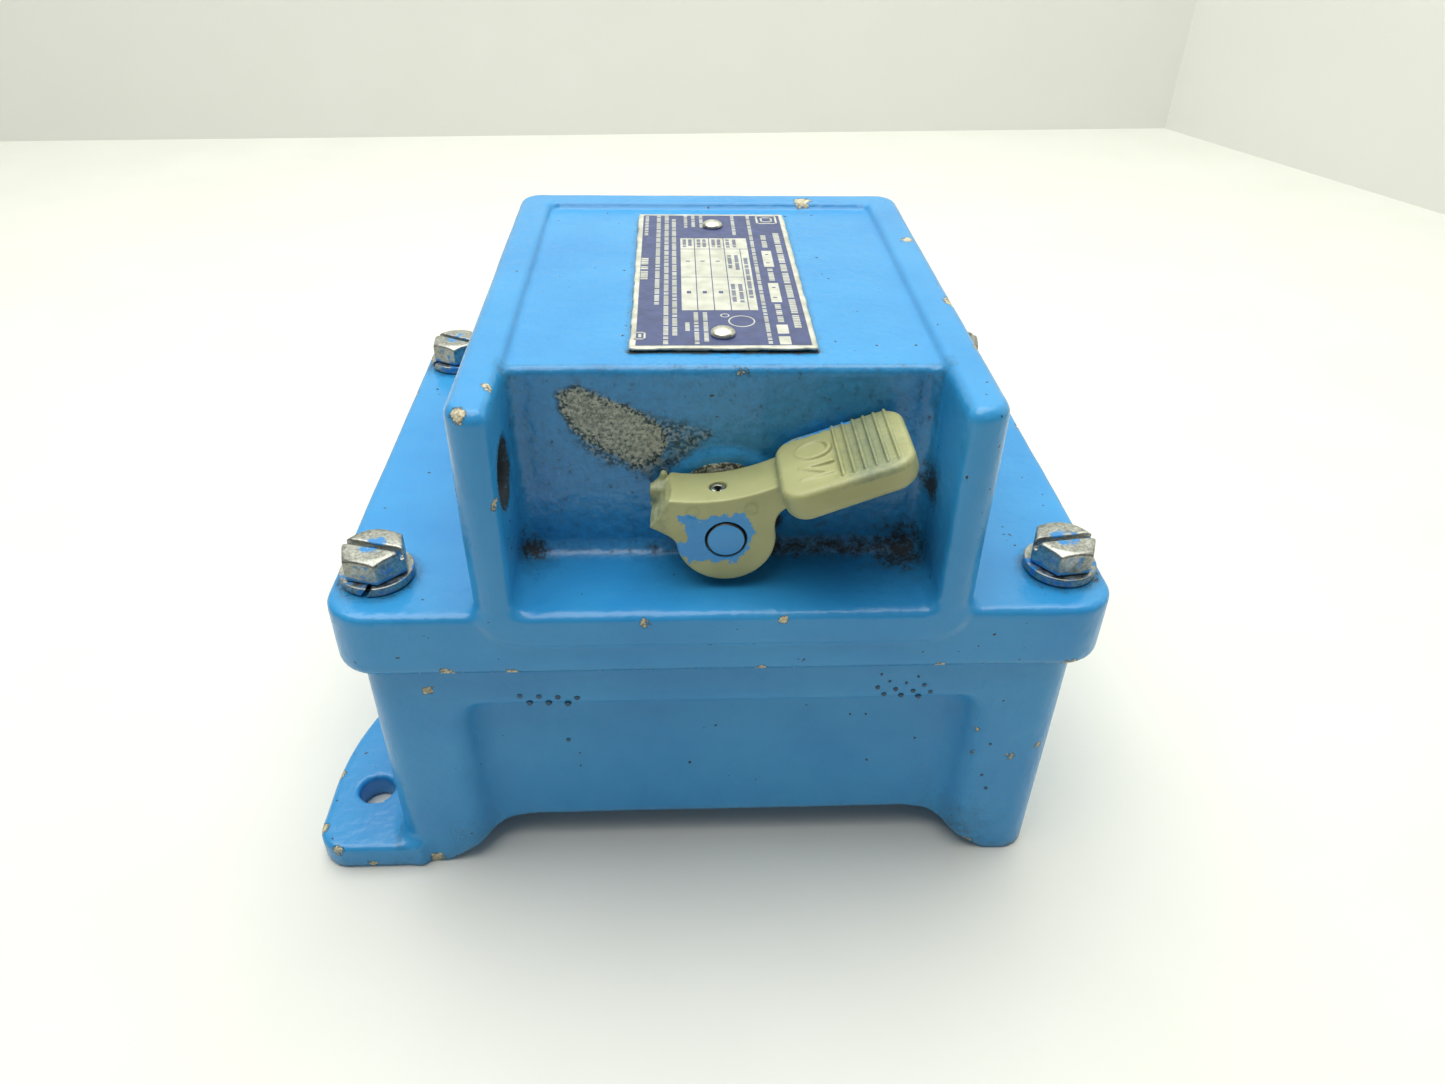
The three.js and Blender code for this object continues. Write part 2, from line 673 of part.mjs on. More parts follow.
function postPlaces() {
  const x = lobeReach * Math.cos(THREE.MathUtils.degToRad(halfThrow));
  return eachSign((side) => [x, side * postOffset]);
}

function switchLid() {
  const lid = box(centred(lidWidth), centred(blockDepth), [blockTop + gap, lidTop]);
  const half = postWidth / 2 + 2 * gap;
  const slots = postPlaces().map(([x, y]) => box([x - half, x + half], [y - half, y + half],
    [blockTop, lidTop + 1]));
  const holes = lidScrewPlaces().map(([x, y]) => rod('z', [x, y, 0],
    blockTop, lidTop + 1, screwShank + gap, 12));
  return cut(lid, ...slots, ...holes);
}

function toggleYoke() {
  const low = lidTop + gap;
  const inner = yokeGauge / 2;
  const outer = inner + yokeThickness;
  const high = toggleZ + togglePinRadius + 3;
  const strap = box(centred(yokeWidth), centred(2 * outer), [low, low + yokeThickness]);
  const ears = eachSign((side) => box(centred(yokeWidth / 2 + 2),
    side < 0 ? [-outer, -inner] : [inner, outer], [low, high]));
  const postHalf = postWidth / 2 + 2 * gap;
  const slots = postPlaces().map(([x, y]) => box([x - postHalf - 2, x + 20], [y - postHalf, y + postHalf],
    [low - 1, low + yokeThickness + 1]));
  const hole = rod('y', [0, 0, toggleZ], ...centred(4 * outer), togglePinRadius + gap, 20);
  return cut(join(strap, ...ears), ...slots, hole);
}

function togglePin() {
  const reach = yokeGauge / 2 + yokeThickness + 1;
  return rod('y', [0, 0, toggleZ], -reach, reach, togglePinRadius, 20);
}

function toggle() {
  const width = yokeGauge - 2;
  const handleWidth = forkWidth + 2;
  const handle = join(
    box(centred(toggleNeck), centred(handleWidth), [0, linkReach]),
    rod('y', [0, 0, linkReach], ...centred(handleWidth), forkTip, 20),
  );
  const lobe = join(
    rod('y', [lobeReach, 0, 0], ...centred(width), lobeRadius, 20),
    box([0, lobeReach], centred(width), centred(1.6 * lobeRadius)),
  );
  const body = join(rod('y', [0, 0, 0], ...centred(width), toggleHubRadius, 28), handle, lobe);
  const bore = rod('y', [0, 0, 0], ...centred(2 * width), togglePinRadius + gap, 20);
  return cut(body, bore).rotate([0, -halfThrow, 0]).translate([0, 0, toggleZ]);
}

function contactCarrier() {
  const postTop = toggleZ + lobeReach * Math.sin(THREE.MathUtils.degToRad(halfThrow)) - lobeRadius - gap;
  const bar = box(centred(carrierWidth), centred(chamberDepth - 2),
    [carrierTop - carrierThickness, carrierTop]);
  const half = postWidth / 2;
  const posts = postPlaces().map(([x, y]) => box([x - half, x + half], [y - half, y + half],
    [carrierTop - 1, postTop]));
  return join(bar, ...posts);
}

function contactTips(xs, y, low, high) {
  return xs.map((x) => rod('z', [x, y, 0], low, high, tipRadius, 16));
}

function contactBridge(y) {
  const low = carrierTop + gap;
  const tipX = bridgeLength / 2 - tipRadius - 0.5;
  const strip = box(centred(bridgeLength), [y - bridgeWidth / 2, y + bridgeWidth / 2],
    [low, low + stripThickness]);
  return join(strip, ...contactTips([-tipX, tipX], y, low + 0.5, bayFloor - tipHeight));
}

function fixedContact(side, y) {
  const tipX = bridgeLength / 2 - tipRadius - 0.5;
  const low = bayFloor + gap;
  const reach = span(side, tipX - tipRadius, blockWidth / 2 - 1);
  const strip = box(reach, [y - bridgeWidth / 2, y + bridgeWidth / 2], [low, low + stripThickness]);
  const tip = contactTips([side * tipX], y, low - tipHeight, low + 0.5);
  const [screwX] = terminalPlaces(side)[0];
  return cut(join(strip, ...tip), rod('z', [screwX, y, 0], low - 1, low + 3, screwShank + gap, 12));
}

function carrierSpring([x, y]) {
  const low = chamberFloor + gap + springWire / 2;
  const high = carrierTop - carrierThickness - gap - springWire / 2;
  const perTurn = 8;
  const steps = springTurns * perTurn;
  const points = Array.from({ length: steps + 1 }, (_, i) => {
    const turn = (i / perTurn) * 2 * Math.PI;
    return new THREE.Vector3(x + springRadius * Math.cos(turn), y + springRadius * Math.sin(turn),
      low + (high - low) * i / steps);
  });
  const path = new THREE.CatmullRomCurve3(points);
  const section = new THREE.Shape().absarc(0, 0, springWire / 2, 0, 2 * Math.PI);
  return solid(new THREE.ExtrudeGeometry(section, {
    steps, curveSegments: 3, bevelEnabled: false, extrudePath: path,
  }));
}

// ---- Assembly -----------------------------------------------------------------------------------

const group = new THREE.Group();

function place(name, manifold, material) {
  const mesh = new THREE.Mesh(toGeometry(manifold), material);
  mesh.name = name;
  group.add(mesh);
}

place('base_housing', base(), blueEnamel);
place('cover', cover(), blueEnamel);
boltPlaces().forEach(([name, x, y]) => {
  place(`cover_bolt_${name}`, coverBolt(x, y), zincSteel);
  place(`lock_washer_${name}`, lockWasher(x, y), zincSteel);
});
place('nameplate', nameplate(), plateInk);
rivetPlaces().forEach((y, i) => place(`nameplate_rivet_${i + 1}`, rivet(y), bareAluminium));

place('shaft_bushing', shaftBushing(), bareAluminium);
place('operating_shaft', operatingShaft(), darkSteel);
place('lever', lever(), nylon);
place('lever_roll_pin', leverPin(), darkSteel);
place('shaft_retaining_ring', retainingRing(), zincSteel);
place('shaft_crank', crank(), zincSteel);
place('crank_pin', crankPin(), darkSteel);

place('switch_block', switchBlock(), phenolic);
place('switch_lid', switchLid(), phenolic);
lidScrewPlaces().forEach((at, i) => place(`lid_screw_${i + 1}`, panScrew(at, lidTop, 14), zincSteel));
mountScrewPlaces().forEach((at, i) => {
  place(`switch_mount_screw_${i + 1}`, panScrew(at, cavityFloor + gap + earThickness, 11), zincSteel);
});
place('toggle_yoke', toggleYoke(), zincSteel);
place('toggle_pin', togglePin(), darkSteel);
place('toggle', toggle(), redMoulding);
place('contact_carrier', contactCarrier(), phenolic);
poles().forEach((y, i) => {
  place(`contact_bridge_${i + 1}`, contactBridge(y), copper);
  place(`line_contact_${i + 1}`, fixedContact(1, y), brass);
  place(`load_contact_${i + 1}`, fixedContact(-1, y), brass);
});
eachSign((side) => terminalPlaces(side).forEach((at, i) => {
  const seat = bayFloor + gap + stripThickness;
  place(`${side > 0 ? 'line' : 'load'}_screw_${i + 1}`, panScrew(at, seat, 8), zincSteel);
}));
eachSign((side) => {
  const name = side < 0 ? 'front' : 'rear';
  place(`carrier_spring_${name}`, carrierSpring([0, side * postOffset]), zincSteel);
});
place('ground_screw', panScrew(groundScrewPlace(), cavityFloor, 3.5), greenSteel);

export default group;
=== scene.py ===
"""Looks of a manual motor switch in a cast hazardous-location enclosure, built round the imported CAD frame.

The castings, lever, bolts and nameplate are distance fields: a formula gives each point's distance from
the surface, in millimetres, and surface_net() puts a mesh where it is zero. Washers, pin, springs, shaft
and rivets are rings of points, and printed marks are boxes.
"""

import functools
import json
import math

import bmesh
import bpy
import numpy as np
from mathutils import Matrix, Vector


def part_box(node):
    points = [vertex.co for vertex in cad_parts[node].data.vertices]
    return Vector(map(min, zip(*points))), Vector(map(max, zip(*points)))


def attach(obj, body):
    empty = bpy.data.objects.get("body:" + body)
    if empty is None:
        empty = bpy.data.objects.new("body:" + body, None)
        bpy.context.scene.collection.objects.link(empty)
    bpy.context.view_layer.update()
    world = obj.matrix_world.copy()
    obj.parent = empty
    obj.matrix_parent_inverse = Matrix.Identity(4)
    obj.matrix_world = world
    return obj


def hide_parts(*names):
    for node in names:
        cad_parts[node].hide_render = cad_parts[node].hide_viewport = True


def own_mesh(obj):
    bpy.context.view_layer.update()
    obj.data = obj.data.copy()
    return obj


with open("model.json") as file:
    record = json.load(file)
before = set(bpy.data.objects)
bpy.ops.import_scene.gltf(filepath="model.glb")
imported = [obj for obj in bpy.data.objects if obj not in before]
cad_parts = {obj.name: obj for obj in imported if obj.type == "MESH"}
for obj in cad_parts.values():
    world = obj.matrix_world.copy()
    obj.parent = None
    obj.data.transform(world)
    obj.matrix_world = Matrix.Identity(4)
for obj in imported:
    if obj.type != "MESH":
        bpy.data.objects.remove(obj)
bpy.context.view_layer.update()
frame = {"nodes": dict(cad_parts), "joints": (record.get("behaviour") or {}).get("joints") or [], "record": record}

MM = 0.001
ENCLOSURE, LEVER_BODY = "enclosure", "lever_assembly"


# ---- Places read from the frame, in millimetres --------------------

def box_mm(node):
    """Lowest and highest corner of a CAD node, in millimetres."""
    low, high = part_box(node)
    return np.array(low) / MM, np.array(high) / MM


COVER_LOW, COVER_HIGH = box_mm("cover")
BASE_LOW, BASE_HIGH = box_mm("base_housing")
PLATE_LOW, PLATE_HIGH = box_mm("nameplate")
BLOCK_GAP = 0.3
CORNERS = ("front_left", "front_right", "back_left", "back_right")
BOLTS = {corner: box_mm(f"cover_bolt_{corner}") for corner in CORNERS}
WASHERS = {corner: box_mm(f"lock_washer_{corner}") for corner in CORNERS}
RIVETS = [box_mm(f"nameplate_rivet_{i}") for i in (1, 2)]
SWING = next(joint for joint in frame["joints"] if joint["name"] == "lever_swing")
PIVOT = np.array(SWING["pos_m"]) / MM
SHAFT_LOW, SHAFT_HIGH = box_mm("operating_shaft")
BUSHING_FRONT = box_mm("shaft_bushing")[0][1]

# Cover
FLANGE_HALF_X = COVER_HIGH[0]
FLANGE_REAR = COVER_HIGH[1]
FLANGE_BOTTOM = COVER_LOW[2]
FLANGE_TOP = FLANGE_BOTTOM + 16
FLANGE_CORNER = 10
RIM_TOP = COVER_HIGH[2]
HOUSING_HALF_X = 52.9
HOUSING_FRONT = COVER_LOW[1]
HOUSING_REAR = FLANGE_REAR - 5.3
HOUSING_CORNER = 6
RIM_WIDTH = 8.7
PANEL_TOP = RIM_TOP - 1.7
POCKET_HALF_X = HOUSING_HALF_X - RIM_WIDTH
POCKET_WALL = HOUSING_FRONT + 22.2
LEDGE_FRONT, LEDGE_SLOPE = FLANGE_TOP + 0.8, 1.2 / 22.2
APRON_BOTTOM = FLANGE_TOP - 6.5
PADLOCK, PADLOCK_RADIUS = (HOUSING_FRONT + 11, RIM_TOP - 19), 6.5
APRON_CORNER = 12
BOSS_RADIUS, BOSS_PROUD = 13, 1
INNER_BOSS_RADIUS, INNER_BOSS_LENGTH, BUSHING_BORE = 11, 18, 6.5
BOLT_HOLE_RADIUS = 4.5
FLANGE_EDGE, HOUSING_FILLET, POCKET_EDGE, PANEL_EDGE, BOSS_FILLET, HOLE_EDGE = 1.6, 2.6, 2.2, 1.0, 1.6, 0.8
WALL = 6

# Base
BASE_HALF_X = FLANGE_HALF_X - 4.2
BASE_HALF_Y = FLANGE_REAR - 4.2
BASE_TOP = BASE_HIGH[2]
BASE_CORNER = 7
BAND_HEIGHT = 13.4
PANEL_SINK = 6
PANEL_HALF_X = BASE_HALF_X - 24.5
FLOOR_HEIGHT = 10
FOOT_WIDTH, UNDERCUT, UNDERCUT_FILLET, UNDERCUT_EDGE = 12, math.radians(36), 5, 1.5
BASE_EDGE, SUNK_PANEL_EDGE, LUG_FILLET = 0.9, 2.2, 3
LUG_THICKNESS, LUG_CORNER, LUG_SWEEP = 7.5, 8, 77.8
LUG_BEND, LUG_HOLE_INSET, LUG_HOLE_RADIUS = 19.5, 11.2, 4.5
ENTRY_HEIGHT, ENTRY_RADIUS, ENTRY_HUB_RADIUS = 38, 12.2, 18
POST_RADIUS, TAPPED_RADIUS, TAPPED_BOTTOM = 9, 3.2, 47

# Lever
HUB_RADIUS = 10.3
HUB_FRONT, HUB_BACK = SHAFT_LOW[1] + 0.2, BUSHING_FRONT - BLOCK_GAP
ARM_ANGLE = math.radians(20)
ARM_START, ARM_END = 14.5, 41.5
ARM_LOW, ARM_HIGH = 4.5, 11
ARM_BACK = POCKET_WALL - 0.9
ARM_WIDTH = 22.5
SADDLE_RADIUS = 38.6
RIB_FIRST, RIB_PITCH = 27.3, 2.2
SHAFT_RADIUS = (SHAFT_HIGH[0] - SHAFT_LOW[0]) / 2
PIN_RADIUS, PIN_OFFSET, PIN_Y = 1.6, -1.6, -55
STUB_TIP = (-15.6, 3.2)
LEVER_RING_MARKS = ((-6.7, 6.9), (5.2, 7.7))
NECK_PLACE, NECK_HALF = (10, 7.4), (10.5, 4.4)
SADDLE_BOTTOM = (-6.2, 9.3)
LETTER_O, LETTER_O_HALF = (22.4, 7), (3.4, 2.9)
LETTER_N = [(19.2, 15.8), (25.6, 15.8), (19.2, 11.6), (25.6, 11.6)]
PIVOT_ROW = np.array([PIVOT[0], 0, PIVOT[2]])
OVERSPRAY = [(-9.7, 6.2), (-7, 6.4), (-5.2, 5), (-2.7, 6.1), (3.8, 6.7), (5.5, 4.1), (5.6, 0.7),
             (4.4, -2.4), (2.3, -6), (-1.9, -5.3), (-7.4, -5.4), (-10.8, -2.4), (-10.4, -0.6), (-8, -0.2),
             (-8.3, 1.6)]

# Fasteners
HEX_ACROSS_FLATS, BOLT_RADIUS, SLOT_HALF_WIDTH, SLOT_DEPTH = 12.7, 3.95, 0.8, 2.2
BOLT_TURNS = (14, 38, 3, 51)

# Wear: outlines on the pocket's back wall as (x, z), chips as (x, y, z, radius)
RUBBED_PATCH = [(-33.2, 124.7), (-29.6, 125.5), (-23.8, 123), (-18, 120.2), (-14.3, 117), (-12, 113.6),
                (-14.4, 109.7), (-18.4, 108.2), (-25.2, 112.2), (-30.4, 116.4), (-32.8, 121.1)]
RUBBED_TRAIL = [(-19.4, 121.1), (-11.2, 118.4), (-2.1, 115.8), (-4.7, 113.6), (-7.4, 110.9), (-12.2, 106),
                (-16.1, 105.4), (-20.7, 107.4), (-26.8, 109.8), (-31, 114)]
COVER_CHIPS = [(-45.4, -57.6, 132, 2.3), (-49.6, -67.8, 131.6, 3.2), (25.8, 55.3, 132, 4.2),
               (49.7, 23.9, 132, 2.6), (52.8, -16.2, 131, 4.5), (3.5, -47.6, 130, 2.8),
               (-44.2, -68, 112, 2.2), (52.5, -40, 131, 2.2), (-9, -47.6, 130, 1.5),
               (12, -68.9, 83.5, 1.8), (-17, -68.9, 83, 2.0), (-60, -67.6, 68.4, 3),
               (-46, -67.6, 68.4, 2.4), (8, -67.7, 68.3, 2.2), (47, -67.7, 68.3, 2.4),
               (76, -66.8, 68.4, 3), (-84, -30, 69, 3), (84.5, 12, 83, 3), (-84.6, 34, 83, 2.6),
               (60, 67.6, 83, 2.6), (-20, 62, 131, 3)]
BASE_CHIPS = [(-66, -63.5, 60, 2), (60.5, -63.5, 44, 1.8), (60.3, -63.5, 36, 1.8), (70, -63.5, 35, 2.2),
              (76, -62.5, 38, 2), (-72, -63.4, 2, 3), (58, -63.4, 6, 2.6), (64, -63.4, 3, 3),
              (-101.6, -58, 6.5, 3.2), (-101.6, -40, 7, 2.6), (-96, -65, 6.5, 2.6), (79.5, -50, 12, 2.6),
              (-80.3, 30, 40, 2.8), (80.4, 40, 52, 3), (30, 63.5, 50, 3), (-50, 63.5, 4, 3),
              (-88, -64.8, 2, 2.2)]

# Punched and chipped spots on the base's front, drawn as dark discs of painted shade, as (x, z, radius): on the
# band, and on the sunken panel
BAND_SPOTS = [(-45.9, 57.7, 0.8), (-41.6, 57.4, 0.8), (-37.4, 57.1, 0.8), (-33.1, 56.8, 0.8),
              (-43.9, 55.4, 0.8), (-39.6, 55.3, 0.8), (-35.3, 54.9, 0.8), (35.2, 58.5, 0.7),
              (36.9, 56.3, 0.7), (39.4, 57.8, 0.7), (40.9, 55.8, 0.7), (43.5, 57.2, 0.7), (45, 55.3, 0.7),
              (45.9, 59, 0.7), (47.6, 56.8, 0.7), (35.7, 62.5, 0.4), (37.8, 60.3, 0.4), (41.7, 59.7, 0.4),
              (44.2, 61.6, 0.4), (64.5, 39.2, 0.5), (64.2, 28.3, 0.5), (66, 23.5, 0.6)]
PANEL_SPOTS = [(-7.6, 28.5, 0.5), (36.6, 28.1, 0.45), (47.8, 35.5, 0.45), (-1.3, 41.2, 0.4),
               (31, 44.1, 0.35), (34.8, 44, 0.35), (-36.9, 37.2, 0.7)]

# Nameplate: rows of print as (x, start y, end y, letter height), blocks as (x0, x1, y0, y1), and rings as
# (x, y, half width, half depth, line)
PLATE_BORDER = 1.3
PLATE_TABLE = (-8.5, 8.3), (-20.2, 26.3)
TABLE_LINES = (-6.8, -3.2, 0.5)
RATING_BLOCKS = [(11.6, 14, 6.1, 17.2), (11.6, 14, -15.7, -4.3)]
PRINT_ROWS = [(16.2, 30.3, -31.5, 1.5), (12.8, 28.6, 18.2, 1.3), (12.8, 4.9, -3.2, 1.3),
              (12.8, -17, -27, 1.3), (9.7, 44.4, -37.7, 0.9), (5.5, 43.9, 28.6, 0.9),
              (-2.9, 44.4, 34.5, 0.9), (-5, 44.4, 34.5, 0.9), (-7, 44.4, 34.5, 0.9),
              (-3.5, -21.4, -38, 0.95), (-5.5, -21.4, -38, 0.95), (-7.4, -26.9, -31.8, 0.95),
              (-10.1, 41.3, -33.6, 1.05), (-12, 45, -37.9, 1.05), (-14.1, 45, -17.2, 1.05),
              (-17.2, 43.7, 28.5, 0.9), (-17.2, 12, -3.8, 1.7)]
PRINT_BLOCKS = RATING_BLOCKS + [(11.6, 14, -32.7, -28.1), (11.6, 14, -38.1, -34.1), (-8.85, -8.55, -38.4, 45),
                                (-15.6, -15.25, -38.4, 45), (-17.7, -17.1, -34.4, -32.7)]
PRINT_FRAMES = [(11.8, 17.4, 37.8, 44.4, 0.5), (13, 16.2, 39.2, 43, 0.5), (-18.6, -16.2, -35.4, -31.7, 0.4)]
INK_ROWS = [(x + side, 25.4, 19.4, 0.9) for x in TABLE_LINES for side in (-0.7, 0.7)]
INK_ROWS += [(3.4, 25.4, 19.4, 0.9), (5.1, 25.4, 19.4, 0.9), (3.4, 14, 4, 0.95), (5.1, 14, 4, 0.95),
             (3.4, -5, -16, 0.95), (5.1, -5, -16, 0.95), (7.3, 12, -14, 0.95)]
RING_MARKS = ((4.3, -26.2, 2.9, 3.0, 0.3), (0.8, -23.1, 1.0, 1.0, 0.25))

# Grid steps of the distance fields
COVER_STEP, BASE_STEP, LEVER_STEP, BOLT_STEP, PLATE_STEP = 1.1, 1.2, 0.3, 0.32, 0.5

# Camera, with its azimuth, elevation and roll in degrees, backdrop and light
CAMERA_ANGLES, CAMERA_PLACE, LENS, SENSOR = (3.017, 35.45, 1.12), (-9.8, -232.8, 220.4), 25.52, 36
FLOOR_TONE, WALL_TONE = "#D9DBD3", "#E6E8E2"
WORLD_STRENGTH = 0.36


# ---- Distance fields --------------------

def length2(a, b):
    """Length of the vector (a, b)."""
    return np.sqrt(a * a + b * b)


def rounded_rect(u, v, half_u, half_v, corner):
    """Distance from a rectangle centred on the origin, with round corners."""
    du, dv = np.abs(u) - half_u + corner, np.abs(v) - half_v + corner
    return length2(np.maximum(du, 0), np.maximum(dv, 0)) + np.minimum(np.maximum(du, dv), 0) - corner


def prism(plan, w, low, high, edge):
    """A plan carried from low to high along w, with its end edges rounded by a radius."""
    a, b = plan + edge, np.abs(w - (low + high) / 2) - (high - low) / 2 + edge
    return np.minimum(np.maximum(a, b), 0) + length2(np.maximum(a, 0), np.maximum(b, 0)) - edge


def blend_join(a, b, radius):
    """Union of two fields with a circular fillet in the corner between them."""
    u, v = np.maximum(radius - a, 0), np.maximum(radius - b, 0)
    return np.maximum(radius, np.minimum(a, b)) - length2(u, v)


def blend_common(a, b, radius):
    """Intersection of two fields with a rounded edge where they meet."""
    u, v = np.maximum(radius + a, 0), np.maximum(radius + b, 0)
    return np.minimum(-radius, np.maximum(a, b)) + length2(u, v)


def blend_cut(a, b, radius):
    """Field a with b taken out of it, and the new edge rounded."""
    return blend_common(a, -b, radius)


def ripple(x, y, z, size, height, seed):
    """Low waves that a sand mould leaves: a sum of sines in turned directions, at one size."""
    random = np.random.default_rng(seed)
    total = 0
    for _ in range(5):
        direction = random.normal(size=3)
        direction *= 2 * math.pi / (size * np.linalg.norm(direction))
        total = total + np.sin(x * direction[0] + y * direction[1] + z * direction[2]
                               + random.uniform(0, 2 * math.pi))
    return total * height / 5


def surface_net(field, low, high, step, passes=2):
    """Mesh of a field's zero surface, by surface nets.

    The field is sampled on a grid. Each cell whose corners differ in sign gets one vertex, at the mean of
    the crossings on its edges, and each grid edge that crosses zero gets one quad of its four cells'
    vertices. Each vertex then moves onto the surface along the field's gradient."""
    axes = [np.arange(a - 2 * step, b + 3 * step, step) for a, b in zip(low, high)]
    grid = np.meshgrid(*axes, indexing="ij", sparse=True)
    values = np.asarray(field(*grid) + 0 * grid[0] + 0 * grid[1] + 0 * grid[2], dtype=np.float32)
    cells = tuple(n - 1 for n in values.shape)
    number = np.arange(np.prod(cells)).reshape(cells)
    total, count = np.zeros(cells + (3,), np.float32), np.zeros(cells, np.float32)
    faces = []
    for axis in range(3):
        p, q = (other for other in range(3) if other != axis)
        level, sums, hits, cell = (np.moveaxis(grid, (axis, p, q), (0, 1, 2))
                                   for grid in (values, total, count, number))
        a, b = level[:-1], level[1:]
        crossing = (a < 0) != (b < 0)
        share = np.where(crossing, a / np.where(crossing, a - b, 1), 0)
        for i, j in np.ndindex(2, 2):
            beside = (slice(None), slice(i, cells[p] + i), slice(j, cells[q] + j))
            hit = crossing[beside]
            hits += hit
            sums[..., axis] += np.where(hit, share[beside], 0)
            sums[..., p] += hit * i
            sums[..., q] += hit * j
        inner = crossing[:, 1:-1, 1:-1]
        quad = np.stack([cell[:, 1 - i:cells[p] - i, 1 - j:cells[q] - j][inner]
                         for i, j in ((0, 0), (1, 0), (1, 1), (0, 1))], 1)
        flip = (a[:, 1:-1, 1:-1][inner] >= 0) != (axis == 1)
        quad[flip] = quad[flip][:, ::-1]
        faces.append(quad)
    used = np.flatnonzero(count.ravel() > 0)
    index = np.full(count.size, -1)
    index[used] = np.arange(len(used))
    corner = np.array(np.unravel_index(used, cells)).T
    offset = total.reshape(-1, 3)[used] / count.ravel()[used, None]
    start = np.array([axis[0] for axis in axes])
    points = start + (corner + offset) * step
    limit, nudge = 0.6 * step, 0.15 * step
    for _ in range(passes):
        here = field(*points.T)
        nudged = [field(*(points + nudge * unit).T) for unit in np.eye(3)]
        slope = np.stack([value - here for value in nudged], 1) / nudge
        move = -here[:, None] * slope / np.maximum((slope ** 2).sum(1, keepdims=True), 0.25)
        size = np.linalg.norm(move, axis=1, keepdims=True)
        points = points + move * np.minimum(1, limit / np.maximum(size, 1e-9))
    return points, index[np.concatenate(faces)]


# ---- Meshes --------------------

def make_piece(name, points, faces, body, stands_for=(), smooth=True):
    """A Blender object from points in millimetres, riding on a body and replacing CAD nodes."""
    mesh = bpy.data.meshes.new(name)
    mesh.from_pydata(np.asarray(points) * MM, [], faces if isinstance(faces, list) else faces.tolist())
    mesh.update()
    if smooth:
        mesh.polygons.foreach_set("use_smooth", np.ones(len(mesh.polygons), bool))
    piece = bpy.data.objects.new(name, mesh)
    bpy.context.scene.collection.objects.link(piece)
    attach(piece, body)
    if stands_for:
        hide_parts(*stands_for)
    return piece


def set_attribute(piece, name, values):
    """Stores one number per vertex for a material to read."""
    layer = piece.data.attributes.new(name, "FLOAT", "POINT")
    layer.data.foreach_set("value", np.asarray(values, np.float32))


def vertices_mm(piece):
    """A piece's vertices in millimetres, one row each."""
    flat = np.empty(len(piece.data.vertices) * 3, np.float32)
    piece.data.vertices.foreach_get("co", flat)
    return flat.reshape(-1, 3) / MM


def bands(rings, around, loop=False):
    """Quads between neighbouring rings of points; with loop, from the last ring back to the first as well."""
    start, place = np.arange(rings if loop else rings - 1)[:, None] * around, np.arange(around)[None]
    after, above = (place + 1) % around, (start + around) % (rings * around)
    return np.stack([start + place, start + after, above + after, above + place], -1).reshape(-1, 4)


def tube_faces(rings, around, flip=False):
    """Bands between rings of points and one face over each end; flip turns them all over."""
    quads, last = bands(rings, around), (rings - 1) * around
    ends = [list(range(around))[::-1], list(range(last, last + around))]
    if flip:
        quads, ends = quads[:, [0, 3, 2, 1]], [end[::-1] for end in ends]
    return quads.tolist() + ends


def face_outwards(piece):
    """Turns every face of a closed piece outwards."""
    shape = bmesh.new()
    shape.from_mesh(piece.data)
    bmesh.ops.recalc_face_normals(shape, faces=shape.faces)
    shape.to_mesh(piece.data)
    shape.free()


def turned_piece(name, profile, centre, axis, body, nodes, around=64):
    """A piece turned from a profile of (radius, along) about an axis through a centre.

    Each profile point makes a ring. The profile starts and ends near the axis, closed there by flat faces."""
    turn = np.linspace(0, 2 * math.pi, around, endpoint=False)
    radius, along = np.asarray(profile, float).T[:, :, None]
    side, up, level = radius * np.cos(turn), radius * np.sin(turn), along + 0 * turn
    points = np.stack({"y": (up, level, side), "z": (side, up, level)}[axis], -1).reshape(-1, 3) + centre
    piece = make_piece(name, points, tube_faces(len(profile), around), body, nodes)
    face_outwards(piece)
    return piece


def boxes(lows, highs):
    """Points and faces of many boxes at once, from their lowest and highest corners."""
    lows, highs = np.asarray(lows, float), np.asarray(highs, float)
    pick = np.array([[i >> 2 & 1, i >> 1 & 1, i & 1] for i in range(8)])
    points = np.where(pick[None], highs[:, None], lows[:, None]).reshape(-1, 3)
    sides = np.array([[0, 1, 3, 2], [4, 6, 7, 5], [0, 4, 5, 1], [2, 3, 7, 6], [0, 2, 6, 4], [1, 5, 7, 3]])
    faces = (np.arange(len(lows))[:, None, None] * 8 + sides[None]).reshape(-1, 4)
    return points, faces


# ---- Cover --------------------

def bolt_centre(corner):
    """Where a cover bolt stands."""
    low, high = BOLTS[corner]
    return (low[:2] + high[:2]) / 2


def housing_field(x, y, z):
    """Raised housing: a tall prism whose front runs down over the flange, with round lower corners."""
    middle, half = (HOUSING_FRONT + HOUSING_REAR) / 2, (HOUSING_REAR - HOUSING_FRONT) / 2
    plan = rounded_rect(x, y - middle, HOUSING_HALF_X, half, HOUSING_CORNER)
    block = prism(plan, z, APRON_BOTTOM - 20, RIM_TOP, 2.6)
    tall = RIM_TOP - APRON_BOTTOM
    face = rounded_rect(x, z - APRON_BOTTOM - tall, HOUSING_HALF_X + 0.5, tall, APRON_CORNER)
    return blend_common(block, face, 0.8)


def pocket_field(x, y, z):
    """Space of the lever pocket: between the cheeks, in front of the back wall, above the ledge."""
    ledge = LEDGE_FRONT + (y - HOUSING_FRONT) * LEDGE_SLOPE
    corner = 3.4
    return blend_common(blend_common(np.abs(x) - POCKET_HALF_X, y - POCKET_WALL, corner), ledge - z, corner)


def top_panel_field(x, y, z):
    """Sunken panel inside the rim, open at the front to the pocket."""
    rear = HOUSING_REAR - RIM_WIDTH
    plan = blend_common(np.abs(x) - POCKET_HALF_X, y - rear, 3.5)
    return blend_common(plan, PANEL_TOP - z, 1.2)


